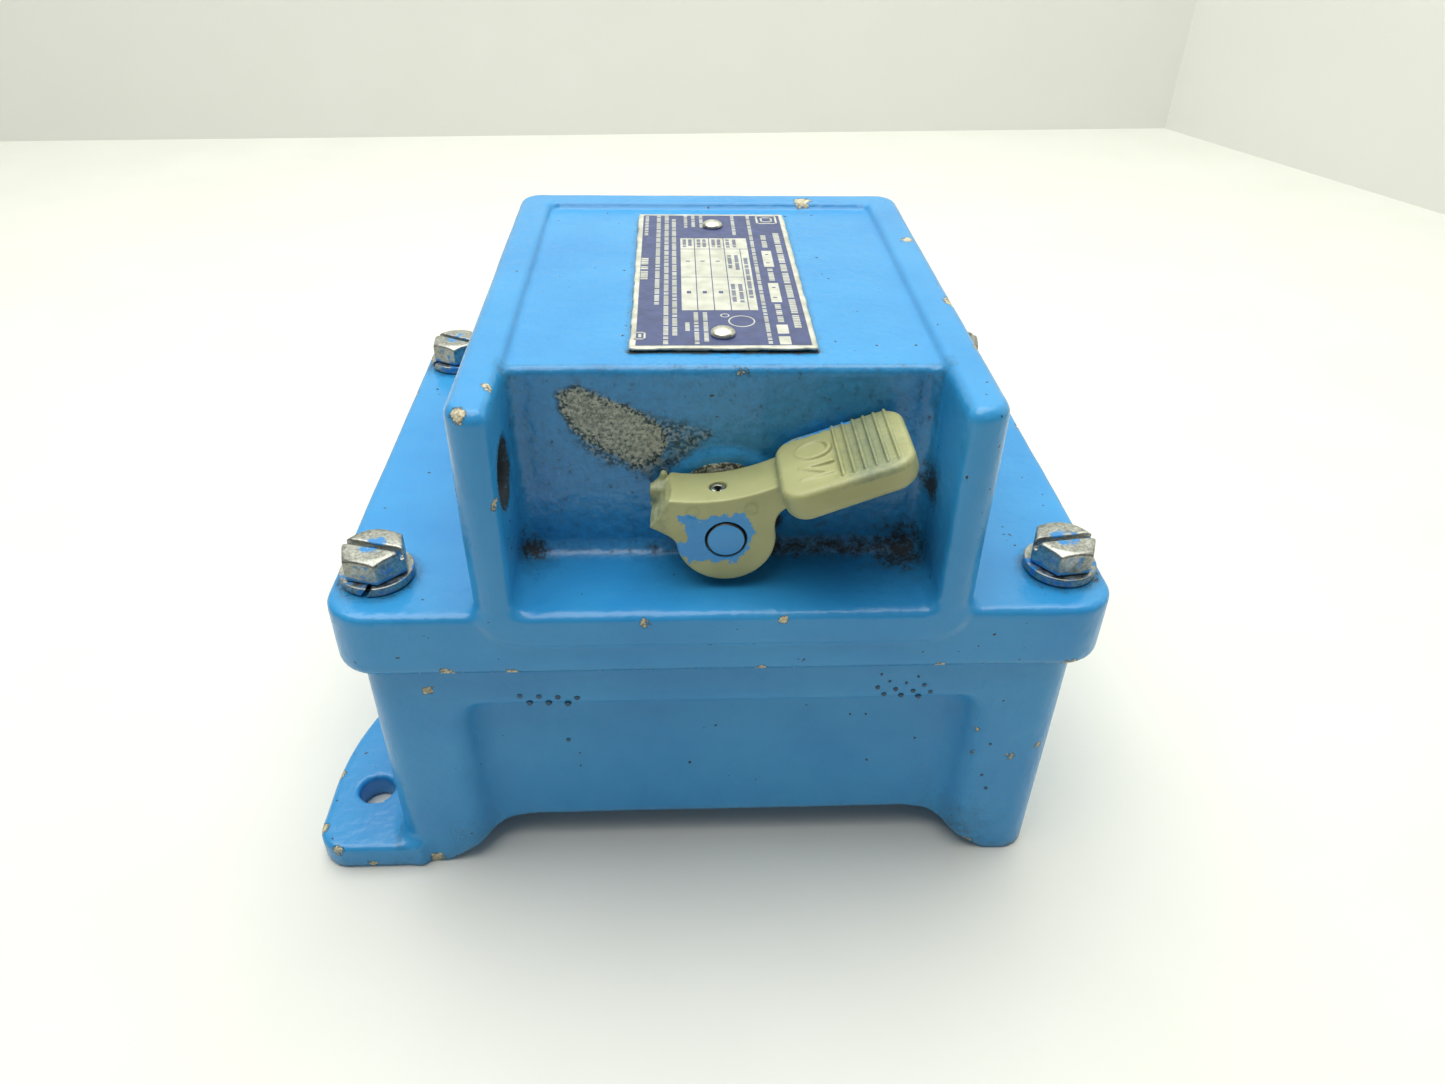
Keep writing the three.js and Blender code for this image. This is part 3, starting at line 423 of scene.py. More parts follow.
def cover_inside_field(x, y, z):
    """Hollow of the cover: the housing less its walls, and the shallow part under the ledge."""
    rear = HOUSING_REAR - WALL
    half_x = HOUSING_HALF_X - WALL

    def hollow(front, top):
        plan = rounded_rect(x, y - (front + rear) / 2, half_x, (rear - front) / 2, WALL)
        return prism(plan, z, FLANGE_BOTTOM - 20, top, 1.5)

    return np.minimum(hollow(HOUSING_FRONT + 9, LEDGE_FRONT - WALL),
                      hollow(POCKET_WALL + WALL, PANEL_TOP - WALL))


def cover_field(x, y, z):
    """Cover casting with its fillets."""
    outline = rounded_rect(x, y, FLANGE_HALF_X, FLANGE_REAR, FLANGE_CORNER)
    flange = prism(outline, z, FLANGE_BOTTOM, FLANGE_TOP, FLANGE_EDGE)
    solid = blend_join(flange, housing_field(x, y, z), HOUSING_FILLET)
    solid = blend_cut(solid, pocket_field(x, y, z), POCKET_EDGE)
    solid = blend_cut(solid, top_panel_field(x, y, z), PANEL_EDGE)
    around = length2(x - PIVOT[0], z - PIVOT[2])
    boss = prism(around - BOSS_RADIUS, y, POCKET_WALL - BOSS_PROUD, POCKET_WALL + 2, 0.6)
    solid = blend_join(solid, boss, BOSS_FILLET)
    solid = blend_cut(solid, cover_inside_field(x, y, z), HOLE_EDGE)
    inner_end = POCKET_WALL + WALL + INNER_BOSS_LENGTH
    solid = np.minimum(solid, prism(around - INNER_BOSS_RADIUS, y, POCKET_WALL + 2, inner_end, 0.5))
    solid = np.maximum(solid, -prism(around - BUSHING_BORE, y, HOUSING_FRONT, inner_end + 12, 0))
    padlock = length2(y - PADLOCK[0], z - PADLOCK[1]) - PADLOCK_RADIUS
    solid = blend_cut(solid, np.maximum(padlock, x + POCKET_HALF_X / 2), HOLE_EDGE)
    for corner in CORNERS:
        cx, cy = bolt_centre(corner)
        solid = blend_cut(solid, length2(x - cx, y - cy) - BOLT_HOLE_RADIUS, 0.4)
    return solid + ripple(x, y, z, 34, 0.09, 3) + ripple(x, y, z, 13, 0.04, 8)


def build_casting(name, field, low, high, step, node):
    """A casting of the enclosure from its field, kept inside its CAD node's box."""
    points, faces = surface_net(field, low, high, step)
    return make_piece(name, np.clip(points, low, high), faces, ENCLOSURE, [node])


# ---- Base --------------------

def lug_field(x, y, z):
    """Mounting lug at the front left and its hole: straight outside, an arc that runs into the end wall."""
    outer, front = BASE_LOW[0], BASE_LOW[1]
    bend_y = front + LUG_BEND
    centre_x = outer + LUG_SWEEP
    side = np.where(y > bend_y, length2(x - centre_x, y - bend_y) - LUG_SWEEP, outer - x)
    plan = blend_common(side, front - y, LUG_CORNER)
    plan = np.maximum(np.maximum(plan, x + BASE_HALF_X - 5), y)
    lug = prism(plan, z, 0, LUG_THICKNESS, 1.2)
    hole = length2(x - outer - LUG_HOLE_INSET, y - bend_y) - LUG_HOLE_RADIUS
    return lug, hole


def front_panel_field(x, y, z):
    """Sunken panel: open to the front and below, its sides sloping in towards the panel."""
    depth = -y - (BASE_HALF_Y - PANEL_SINK)
    flare = np.clip(depth, 0, PANEL_SINK) * 0.75
    top = BASE_TOP + BLOCK_GAP - BAND_HEIGHT - PANEL_SINK * 0.35 + np.clip(depth, 0, PANEL_SINK) * 0.35
    edge = blend_common(np.abs(x) - PANEL_HALF_X - flare, z - top, 5)
    return blend_common(edge, -depth, 2.6)


def base_field(x, y, z):
    """Base casting: hollow box, sunken panels front and rear, foot rails, lugs, posts and conduit bores."""
    outline = rounded_rect(x, y, BASE_HALF_X, BASE_HALF_Y, BASE_CORNER)
    solid = prism(outline, z, 0, BASE_TOP, BASE_EDGE)
    solid = blend_cut(solid, front_panel_field(x, y, z), SUNK_PANEL_EDGE)
    solid = blend_cut(solid, front_panel_field(x, -y, z), SUNK_PANEL_EDGE)
    inner = BASE_HALF_X - FOOT_WIDTH
    slope = (np.abs(x) - inner) * math.sin(UNDERCUT) + z * math.cos(UNDERCUT)
    under = blend_common(slope, z - FLOOR_HEIGHT, UNDERCUT_FILLET)
    solid = blend_cut(solid, under, UNDERCUT_EDGE)
    first, first_hole = lug_field(x, y, z)
    second, second_hole = lug_field(-x, -y, z)
    solid = blend_join(blend_join(solid, first, LUG_FILLET), second, LUG_FILLET)
    solid = blend_cut(blend_cut(solid, first_hole, 0.6), second_hole, 0.6)
    hollow = rounded_rect(x, y, BASE_HALF_X - 10, BASE_HALF_Y - WALL - PANEL_SINK, WALL)
    solid = np.maximum(solid, -prism(hollow, z, FLOOR_HEIGHT + WALL, BASE_TOP + 20, 1))
    entry = length2(y, z - ENTRY_HEIGHT)
    hub = np.maximum(entry - ENTRY_HUB_RADIUS, np.abs(np.abs(x) - BASE_HALF_X + 9) - 7)
    solid = np.minimum(solid, hub)
    for corner in CORNERS:
        cx, cy = bolt_centre(corner)
        around = length2(x - cx, y - cy)
        post = np.maximum(np.maximum(around - POST_RADIUS, outline), z - BASE_TOP)
        solid = np.minimum(solid, np.maximum(post, FLOOR_HEIGHT + WALL - z))
        solid = np.maximum(solid, -np.maximum(around - TAPPED_RADIUS, TAPPED_BOTTOM - z))
    solid = blend_cut(solid, entry - ENTRY_RADIUS, HOLE_EDGE)
    return solid + ripple(x, y, z, 30, 0.1, 5) + ripple(x, y, z, 12, 0.05, 9)


def build_spots():
    """Small dark discs of painted shade in the punch marks, each a flat cone that stands off the casting."""
    rows = [(x, -BASE_HALF_Y, z, r) for x, z, r in BAND_SPOTS]
    rows += [(x, -BASE_HALF_Y + PANEL_SINK, z, r) for x, z, r in PANEL_SPOTS]
    x, y, z, radius = np.array(rows).T[:, :, None]
    around = 16
    turn = np.linspace(0, 2 * math.pi, around, endpoint=False)
    side, up, level = radius * np.cos(turn), radius * np.sin(turn), y + 0 * turn
    rings = [np.stack([x + share * side, level + sunk, z + share * up], -1)
             for share, sunk in ((1, 0.4), (0.75, -0.12))]
    points = np.concatenate(rings, 1).reshape(-1, 3)
    faces = [[2 * around * spot + corner for corner in face]
             for spot in range(len(rows)) for face in tube_faces(2, around)]
    return make_piece("punch_mark_shade_discs", points, faces, ENCLOSURE, smooth=False)


# ---- Lever --------------------

def along_arm(x, z):
    """Place relative to the pivot, measured along the arm and square to it."""
    dx, dz = x - PIVOT[0], z - PIVOT[2]
    return (dx * math.cos(ARM_ANGLE) + dz * math.sin(ARM_ANGLE),
            dz * math.cos(ARM_ANGLE) - dx * math.sin(ARM_ANGLE))


def capsule(x, y, z, start, end, radius):
    """Distance from a straight rod with round ends."""
    start, end = np.array(start), np.array(end)
    rod = end - start
    share = ((x - start[0]) * rod[0] + (y - start[1]) * rod[1] + (z - start[2]) * rod[2]) / (rod @ rod)
    share = np.clip(share, 0, 1)
    dx, dy, dz = (v - start[i] - share * rod[i] for i, v in enumerate((x, y, z)))
    return np.sqrt(dx * dx + dy * dy + dz * dz) - radius


def stub_field(x, y, z):
    """What is left of the second arm: two slanting broken faces and a thin prong at the back."""
    dx, dz = x - PIVOT[0], z - PIVOT[2]
    tear = ripple(x, y, z, 5, 0.7, 21) + ripple(x, y, z, 1.7, 0.3, 4)
    from_tip, above_tip = dx - STUB_TIP[0], dz - STUB_TIP[1]
    upper = (-from_tip * 6.6 + above_tip * 4.3) / math.hypot(6.6, 4.3) + tear * 0.6
    lower = (-from_tip * 3.1 - above_tip * 5.0) / math.hypot(3.1, 5.0) + tear * 0.3
    wedge = np.maximum(np.maximum(upper, lower), dx)
    prong = blend_join(
        capsule(dx, y, dz, (-10, HUB_BACK - 2.6, 6.6), (-14.2, HUB_BACK - 2.4, 6.4), 2.3),
        capsule(dx, y, dz, (-13.6, HUB_BACK - 2, 8), (-12.8, HUB_BACK - 1.8, 10), 0.9), 1)
    return wedge, prong + tear * 0.6


def hub_field(x, y, z):
    """Hub, neck and stub: a plate as thick as the hub is long, under one concave saddle."""
    dx, dz = x - PIVOT[0], z - PIVOT[2]
    along, square = along_arm(x, z)
    wedge, prong = stub_field(x, y, z)
    neck = np.maximum(np.abs(along - NECK_PLACE[0]) - NECK_HALF[0],
                      np.abs(square - NECK_PLACE[1]) - NECK_HALF[1])
    plan = blend_join(length2(dx, dz) - HUB_RADIUS, np.maximum(neck, -dx), 5)
    plan = blend_join(plan, wedge, 1)
    saddle = SADDLE_RADIUS - length2(dx - SADDLE_BOTTOM[0], dz - SADDLE_BOTTOM[1] - SADDLE_RADIUS)
    plan = blend_common(plan, saddle, 0.5)
    plate = prism(plan, y, HUB_FRONT, HUB_BACK, 0.5)
    return blend_join(plate, np.maximum(prong, y - HUB_BACK), 1)


def paddle_field(x, y, z):
    """Thumb paddle: a box with round corners all round, a slightly dished top and a thinner tip."""
    along, square = along_arm(x, z)
    middle, half = (ARM_START + ARM_END) / 2, (ARM_END - ARM_START) / 2
    front = ARM_BACK - ARM_WIDTH
    plan = rounded_rect(along - middle, y - (front + ARM_BACK) / 2, half, ARM_WIDTH / 2, 5)
    dish = 0.45 * np.cos(np.clip((along - middle) / half, -1, 1) * math.pi) + 0.45
    low = ARM_LOW - 0.9 + 0.9 * (along - ARM_START) / (2 * half)
    top = square - ARM_HIGH + dish * np.clip(1 - ((y - (front + ARM_BACK) / 2) / 9) ** 2, 0, 1)
    body = blend_common(plan, low - square, 3.2)
    return blend_common(body, top, 1.3)


def grip_field(x, y, z):
    """Raised marks on the paddle: six cross ribs and the outlines of two letters, as round-topped strokes."""
    along, square = along_arm(x, z)
    front = ARM_BACK - ARM_WIDTH
    height = square - ARM_HIGH
    nearest = np.clip(np.round((along - RIB_FIRST) / RIB_PITCH), 0, 5) * RIB_PITCH + RIB_FIRST
    reach = np.maximum(front + 2.6 - y, y - ARM_BACK + 1.2)
    ribs = length2(length2(along - nearest, np.maximum(reach, 0)), height - 0.12) - 0.34
    ring = length2((along - LETTER_O[0]) / LETTER_O_HALF[0], (y - ARM_BACK + LETTER_O[1]) / LETTER_O_HALF[1])
    letter_o = np.abs(ring - 1) * 3
    bars = []
    for a, b in zip(LETTER_N, LETTER_N[1:]):
        start, rod = np.array(a), np.array(b) - np.array(a)
        depth = ARM_BACK - 1.2 - y
        share = np.clip(((along - start[0]) * rod[0] + (depth - start[1]) * rod[1]) / (rod @ rod), 0, 1)
        bars.append(length2(along - start[0] - share * rod[0], depth - start[1] - share * rod[1]))
    letters = np.minimum(letter_o, np.minimum(np.minimum(bars[0], bars[1]), bars[2]))
    letters = length2(letters, height + 0.46) - 0.51
    return np.minimum(ribs, letters)


def lever_field(x, y, z):
    """Whole lever moulding with its shaft hole and the roll pin's hole."""
    solid = blend_join(hub_field(x, y, z), paddle_field(x, y, z), 0.9)
    solid = blend_join(solid, np.maximum(grip_field(x, y, z), -solid - 1.5), 0.25)
    dx, dz = x - PIVOT[0], z - PIVOT[2]
    solid = blend_cut(solid, length2(dx, dz) - SHAFT_RADIUS - 0.36, 0.15)
    pin = np.maximum(length2(dx - PIN_OFFSET, y - PIN_Y) - PIN_RADIUS - 0.25, -dz)
    solid = blend_cut(solid, pin, 0.3)
    for mark_x, mark_z in LEVER_RING_MARKS:
        ring = np.abs(length2(dx - mark_x, dz - mark_z) - 1.3) - 0.25  # a groove 0.5 wide round 2.6
        solid = blend_cut(solid, np.maximum(ring, y - HUB_FRONT - 0.15), 0.1)
    return solid + ripple(x, y, z, 16, 0.05, 2)


def build_lever():
    """Lever, with attributes for its material: overspray on hub and far edge, dirt between the ribs."""
    low, high = box_mm("lever")
    points, faces = surface_net(lever_field, low - 1, high + 1, LEVER_STEP)
    points = np.clip(points, low, high)
    lever = make_piece("lever_moulding", points, faces, LEVER_BODY, ["lever"])
    x, y, z = points.T
    dx, dz = x - PIVOT[0], z - PIVOT[2]
    patch = -polygon_distance(dx, dz, OVERSPRAY)
    along, square = along_arm(x, z)
    far_edge = (y > ARM_BACK - 1.9) & (square > 3) & (along > ARM_START + 2)
    edge = 3.2 * far_edge * np.clip((34 - along) / 3, 0, 1)
    set_attribute(lever, "overspray", np.where(y < HUB_FRONT + 0.35, patch, -3) + edge)
    between = np.exp(-((along - 33) / 7) ** 2) * (square > ARM_HIGH - 1.5)
    joint = np.exp(-((along - ARM_START) / 1.6) ** 2)
    stub = np.clip((-dx - 10) / 3, 0, 1)
    set_attribute(lever, "dirt", np.clip(0.75 * between + 0.45 * joint + 0.6 * stub, 0, 1))
    return lever


def polygon_distance(u, v, corners):
    """Signed distance from a closed outline, negative inside, by its nearest side and a crossing count."""
    corners = np.asarray(corners, float)
    after = np.roll(corners, -1, 0)
    nearest = np.full(np.shape(u), 1e9)
    inside = np.zeros(np.shape(u), bool)
    for (ax, ay), (bx, by) in zip(corners, after):
        rod_x, rod_y = bx - ax, by - ay
        share = np.clip(((u - ax) * rod_x + (v - ay) * rod_y) / (rod_x ** 2 + rod_y ** 2), 0, 1)
        nearest = np.minimum(nearest, length2(u - ax - share * rod_x, v - ay - share * rod_y))
        if ay != by:
            inside ^= ((ay > v) != (by > v)) & (u < (bx - ax) * (v - ay) / (by - ay) + ax)
    return np.where(inside, -nearest, nearest)


# ---- Fasteners --------------------

def bolt_field(x, y, z, centre, low, high, turn):
    """Hexagon head with a chamfered top and a slot, and the start of its shank below."""
    c, s = math.cos(turn), math.sin(turn)
    u, v = (x - centre[0]) * c + (y - centre[1]) * s, (y - centre[1]) * c - (x - centre[0]) * s
    flats = [np.abs(u * math.cos(a) + v * math.sin(a)) for a in (0, math.pi / 3, 2 * math.pi / 3)]
    hexagon = np.maximum(np.maximum(flats[0], flats[1]), flats[2]) - HEX_ACROSS_FLATS / 2
    radius = length2(u, v)
    chamfer = (radius - HEX_ACROSS_FLATS / 2 + 0.55) * 0.5 + (z - high) * 0.87
    head = blend_common(prism(hexagon, z, low, high, 0.25), chamfer, 0.3)
    slot = np.maximum(np.abs(u * 0.5 + v * 0.87) - SLOT_HALF_WIDTH, high - SLOT_DEPTH - z)
    head = blend_cut(head, slot, 0.25)
    shank = np.maximum(radius - BOLT_RADIUS, np.abs(z - low) - 2.6)
    return np.minimum(head, shank)


def build_bolt(corner, turn):
    """Cover bolt, with an attribute for the paint left low on it, on its flats and on its crown."""
    low, high = BOLTS[corner]
    centre = (low[:2] + high[:2]) / 2
    head_low = WASHERS[corner][1][2] + BLOCK_GAP
    points, faces = surface_net(
        lambda x, y, z: bolt_field(x, y, z, centre, head_low, high[2], turn),
        np.array([*(centre - 7.6), head_low - 3]), np.array([*(centre + 7.6), high[2]]), BOLT_STEP)
    piece = make_piece(f"hex_bolt_{corner}", points, faces, ENCLOSURE, [f"cover_bolt_{corner}"])
    x, y, z = points.T
    radius = length2(x - centre[0], y - centre[1])
    flats = 0.34 * (radius < HEX_ACROSS_FLATS / 2 + 0.35) * (z < high[2] - 0.9)
    crown = 0.42 * np.clip((4.4 - radius) / 1.5, 0, 1) * (z > high[2] - 0.6)
    set_attribute(piece, "paint", strongest(np.clip((head_low + 1.6 - z) / 2, 0, 1), flats, crown))
    return piece


def split_washer(corner, gap_angle):
    """Spring washer: a square-edged section carried round nearly a full turn, cut on a slant."""
    low, high = WASHERS[corner]
    centre = (low + high) / 2
    outer, inner = (high[0] - low[0]) / 2, BOLT_RADIUS + 0.4
    half, edge = (high[2] - low[2]) / 2, 0.28
    rounding = np.repeat([(outer - edge, half - edge), (inner + edge, half - edge),
                          (inner + edge, edge - half), (outer - edge, edge - half)], 3, 0)
    a = np.radians(np.add.outer((0, 90, 180, 270), (15, 45, 75)).reshape(-1, 1))
    section = rounding + edge * np.hstack([np.cos(a), np.sin(a)])
    steps = 96
    turn = np.linspace(0, 1, steps)[:, None]
    slant = (section[None, :, 1] * 0.7) / outer
    span = 2 * math.pi - 0.17
    angle = gap_angle + turn * span + slant
    rise = (turn - 0.5) * 0.12
    points = np.stack([centre[0] + section[None, :, 0] * np.cos(angle),
                       centre[1] + section[None, :, 0] * np.sin(angle),
                       np.clip(centre[2] + section[None, :, 1] * 0.96 + rise, low[2], high[2])], -1)
    faces = tube_faces(steps, len(section), flip=True)
    piece = make_piece(f"split_washer_{corner}", points.reshape(-1, 3), faces, ENCLOSURE,
                       [f"lock_washer_{corner}"], smooth=False)
    set_attribute(piece, "paint", np.full(len(piece.data.vertices), 0.35))
    return piece


def build_rivet(index, low, high):
    """Blind rivet head: a dome with a small flat rim, and a shank into the cover."""
    centre, radius = (low + high) / 2, (high[0] - low[0]) / 2
    base = PLATE_HIGH[2] + 0.05
    rise = high[2] - base
    angle = np.radians(np.linspace(88, 6, 14))
    dome = np.stack([radius * np.cos(angle), base + 0.3 + (rise - 0.3) * np.sin(angle)], -1)
    profile = np.vstack([[(0.1, high[2])], dome, [(radius, base + 0.05), (radius - 0.15, base), (1.5, base),
                                                  (1.5, low[2]), (0.1, low[2])]])
    return turned_piece(f"rivet_head_{index}", profile, (centre[0], centre[1], 0), "z", ENCLOSURE,
                        [f"nameplate_rivet_{index}"])


def build_shaft():
    """Switch shaft: a ground bar with a chamfered front end, which carries the lever."""
    front, back, r = SHAFT_LOW[1] + 0.05, SHAFT_HIGH[1], SHAFT_RADIUS
    profile = [(0.1, front), (r - 0.35, front), (r - 0.1, front + 0.1), (r, front + 0.35),
               (r, back - 0.4), (r - 0.4, back), (0.1, back)]
    shaft = turned_piece("switch_shaft", profile, PIVOT_ROW, "y", LEVER_BODY,
                         ["operating_shaft"])
    set_attribute(shaft, "paint", 0.8 * (vertices_mm(shaft)[:, 1] < front + 0.08))
    return shaft


def build_roll_pin():
    """Slotted spring pin: a thin rolled tube with its seam open towards the hub's front."""
    low, high = box_mm("lever_roll_pin")
    wall, gap = 0.75, 0.35
    turn = np.linspace(gap, 2 * math.pi - gap, 40) - math.pi / 2
    circle = np.stack([np.cos(turn), np.sin(turn)], -1)
    section = np.vstack([PIN_RADIUS * circle, (PIN_RADIUS - wall) * circle[::-1]])
    levels = np.array([low[2], low[2] + 0.2, high[2] - 0.25, high[2]])
    shrink = np.array([0.92, 1, 1, 0.9])
    points = np.stack([PIVOT[0] + PIN_OFFSET + section[None, :, 0] * shrink[:, None],
                       PIN_Y + section[None, :, 1] * shrink[:, None],
                       np.broadcast_to(levels[:, None], (4, len(section)))], -1)
    n = len(section)
    low_cap = [[i, n - 1 - i, n - 2 - i, i + 1] for i in range(n // 2 - 1)]
    top_cap = [[3 * n + i for i in face[::-1]] for face in low_cap]
    faces = bands(len(levels), n).tolist() + low_cap + top_cap
    piece = make_piece("spring_pin", points.reshape(-1, 3), faces, LEVER_BODY,
                       ["lever_roll_pin"])
    face_outwards(piece)
    return piece


def build_spring(side):
    """Compression spring: a round wire carried up a helix, at one length, though the contacts shorten it.

    With turn a along the wire and angle s round it, a point stands at radius R + w cos s from the spring's
    axis in direction a, and w sin s above the helix."""
    low, high = box_mm(f"carrier_spring_{side}")
    wire, coils, steps, around = 0.4, 5, 200, 10
    along = np.linspace(0, 1, steps)[:, None]
    angle, spin = along * coils * 2 * math.pi, np.linspace(0, 2 * math.pi, around, endpoint=False)[None]
    radius = (high[0] - low[0]) / 2 - wire + wire * np.cos(spin)
    centre = (low + high) / 2
    rise = low[2] + wire + along * (high[2] - low[2] - 2 * wire) + wire * np.sin(spin)
    points = np.stack([centre[0] + radius * np.cos(angle), centre[1] + radius * np.sin(angle), rise], -1)
    piece = make_piece(f"contact_spring_{side}", points.reshape(-1, 3), tube_faces(steps, around, flip=True),
                       ENCLOSURE, [f"carrier_spring_{side}"])
    face_outwards(piece)
    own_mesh(piece)
    return piece


# ---- Nameplate --------------------

def print_words(x, start, end, height, rng):
    """Rows of small blocks that stand for words, from a start to an end along -Y."""
    bars, y = [], start
    while y > end + 0.8:
        letters = int(rng.integers(2, 9))
        for _ in range(letters):
            width = height * float(rng.uniform(0.38, 0.55))
            if y - width < end:
                return bars
            bars.append((x - height / 2, x + height / 2, y - width, y))
            y -= width + 0.2 * height
        y -= height * 0.55
    return bars


def outline_bars(x0, x1, y0, y1, width):
    """Four bars that frame a rectangle."""
    return [(x0, x1, y0, y0 + width), (x0, x1, y1 - width, y1),
            (x0, x0 + width, y0, y1), (x1 - width, x1, y0, y1)]


def print_piece(name, bars, low, high):
    """One piece of many flat bars, each (x0, x1, y0, y1), between two depths below the plate's top."""
    x0, x1, y0, y1 = np.array(bars).T
    z = np.full(len(bars), PLATE_HIGH[2])
    points, faces = boxes(np.column_stack([x0, y0, z - low]), np.column_stack([x1, y1, z - high]))
    return make_piece(name, points, faces, ENCLOSURE, smooth=False)


def build_nameplate():
    """Etched plate: a bare slab, a dark field on it inside a border, bare print on the field, ink on that.

    Gives each piece with its finish."""
    centre, half = (PLATE_LOW + PLATE_HIGH) / 2, (PLATE_HIGH - PLATE_LOW) / 2
    points, faces = surface_net(
        lambda x, y, z: prism(rounded_rect(x - centre[0], y - centre[1], half[0], half[1], 0.5)
                              + ripple(x, y, 0 * x, 9, 0.1, 12), z, PLATE_LOW[2], PLATE_HIGH[2] - 0.06, 0.2),
        PLATE_LOW, PLATE_HIGH, PLATE_STEP)
    slab = make_piece("nameplate_slab", points, faces, ENCLOSURE, ["nameplate"])
    inside = (PLATE_LOW[0] + PLATE_BORDER, PLATE_HIGH[0] - PLATE_BORDER,
              PLATE_LOW[1] + PLATE_BORDER, PLATE_HIGH[1] - PLATE_BORDER)
    field = print_piece("nameplate_field", [inside], 0.3, 0.03)

    rng = np.random.default_rng(7)
    table_x, table_y = PLATE_TABLE
    bars = [bar for row in PRINT_ROWS for bar in print_words(*row, rng)]
    bars += PRINT_BLOCKS + [(*table_x, *table_y)]
    for frame_and_width in PRINT_FRAMES:
        bars += outline_bars(*frame_and_width)
    bars = np.array(bars)
    bars = bars[(bars[:, 2] > inside[2]) & (bars[:, 3] < inside[3])]
    marks = print_piece("nameplate_print", bars, 0.2, 0.015)

    rules = [bar for row in INK_ROWS for bar in print_words(*row, rng)]
    rules += [(x, x + 0.22, *table_y) for x in (-5.1, -1.4, 2.3)] + [(6.2, 6.42, table_y[0], 18.4)]
    rules += [(*table_x, 18.3, 18.52), (table_x[0], 6.2, -0.7, -0.48)]
    for x in TABLE_LINES:
        rules += [(x - 0.5, x + 0.5, 9.6, 10.2), (x - 0.5, x + 0.5, -10.6, -9.2)]
    for x0, x1, y0, y1 in RATING_BLOCKS:
        rules += [(x0 + 0.8, x1 - 0.8, y1 - 3, y1 - 2.4), (x0 + 0.6, x1 - 0.9, y0 + 2.4, y0 + 2.9)]
    ink = print_piece("nameplate_ink", rules, 0.1, 0)

    around, points, faces = 72, [], []
    turn = np.linspace(0, 2 * math.pi, around, endpoint=False)
    for mark, (cx, cy, rx, ry, width) in enumerate(RING_MARKS):
        for scale, below in ((1, 0.2), (1, 0.015), (1 - width / rx, 0.015), (1 - width / rx, 0.2)):
            points.append(np.stack([cx + rx * scale * np.cos(turn), cy + ry * scale * np.sin(turn),
                                    np.full(around, PLATE_HIGH[2] - below)], -1))
        faces.append(bands(4, around, loop=True) + 4 * around * mark)
    rings = make_piece("nameplate_rings", np.concatenate(points), np.concatenate(faces), ENCLOSURE,
                       smooth=False)
    return [(slab, "plate_metal"), (field, "plate_ink"), (marks, "plate_print"), (rings, "plate_print"),
            (ink, "plate_ink")]


# ---- Wear, grime and painted shade ---

def fade(distance, reach):
    """One where a distance is nought, falling to nought at a reach."""
    return np.clip(1 - distance / reach, 0, 1)


def near(points, centre, radius):
    """One at a centre, falling to nought at a radius."""
    return fade(np.linalg.norm(points - centre, axis=1), radius)


def strongest(*layers):
    """The largest of several layers, point by point."""
    return np.maximum.reduce(layers)


def cover_wear(cover):
    """Grime and painted shade in the pocket's corners and round fastened things, painted shadow round the
    nameplate, painted shade in the padlock hole, darker along the flange's foot, a rubbed patch, and chips along
    edges.
    """
    p = vertices_mm(cover)
    x, y, z = p.T
    side, wall, ledge = POCKET_HALF_X, POCKET_WALL, LEDGE_FRONT
    in_pocket = (np.abs(x) < side + 2.5) & (y < wall + 2.5) & (z > ledge - 2)
    wall_corner = length2(np.abs(x) - side, y - wall)
    floor_corner = length2(y - wall, z - ledge - 1)
    around = length2(x - PIVOT[0], z - PIVOT[2])
    from_padlock = length2(y - PADLOCK[0], z - PADLOCK[1])
    centre, half = (PLATE_LOW + PLATE_HIGH) / 2, (PLATE_HIGH - PLATE_LOW) / 2
    plate_edge = np.abs(rounded_rect(x - centre[0], y - centre[1], half[0], half[1], 0.5))
    bolt_rings = [fade(np.abs(length2(x - cx, y - cy) - 8.4), 2.2) for cx, cy in map(bolt_centre, CORNERS)]
    # Pocket grime and painted shade: darker in the wall and floor corners, round the lower half of the hub and at
    # crusty spots, and the whole back wall darker as painted shade
    pocket_grime_and_shade = strongest(
        0.72 * fade(wall_corner, 5) * np.clip(1.25 - (z - ledge) / 34, 0.25, 1),
        0.62 * fade(floor_corner, 5),
        0.85 * fade(floor_corner, 9) * np.clip((x - 2) / 8, 0, 1),
        0.75 * fade(floor_corner, 7) * fade(np.abs(x + 15), 14),
        0.9 * fade(np.abs(around - 12.5), 4.5) * (z < PIVOT[2] - 3) * np.clip((y - wall + 9) / 3, 0, 1),
        0.84 * near(p, (-side + 2, wall - 1, ledge + 2), 11),
        0.86 * near(p, (side - 5, wall - 2, ledge + 2), 17),
        0.6 * near(p, (-15, wall, ledge + 20), 15),
        0.95 * near(p, (side, wall - 4, ledge + 20), 10),
        0.4 * (y > wall - 2) * (z > ledge + 3))
    set_attribute(cover, "grime_and_shade", strongest(
        in_pocket * pocket_grime_and_shade,
        # Painted shadow round the nameplate, heavier along its front edge
        0.66 * (z > PANEL_TOP - 1.5) * fade(plate_edge, 1.6) * (1 + 0.5 * (y < PLATE_LOW[1] + 2)),
        0.45 * (z < FLANGE_BOTTOM + 1.2),
        # Painted shade inside the padlock hole in the left cheek
        1.1 * (x < -side + 0.4) * np.clip(2.6 - from_padlock / 3.6, 0, 1),
        0.62 * (z > FLANGE_TOP - 1) * strongest(*bolt_rings)))
    rub = strongest(np.clip(0.62 - polygon_distance(x, z, RUBBED_PATCH) / 5, 0, 1),
                    np.clip(0.4 - polygon_distance(x, z, RUBBED_TRAIL) / 8, 0, 0.46))
    set_attribute(cover, "rub", rub * (np.abs(y - wall) < 1.4) * (np.abs(x) < side))
    on_boss = (y < wall - 0.3) & (y > wall - 3)
    set_attribute(cover, "bare", on_boss * np.clip(1.4 - np.abs(around - 9.6) / 1.7, 0, 1))
    set_attribute(cover, "chip", strongest(*[near(p, chip[:3], chip[3]) for chip in COVER_CHIPS]))


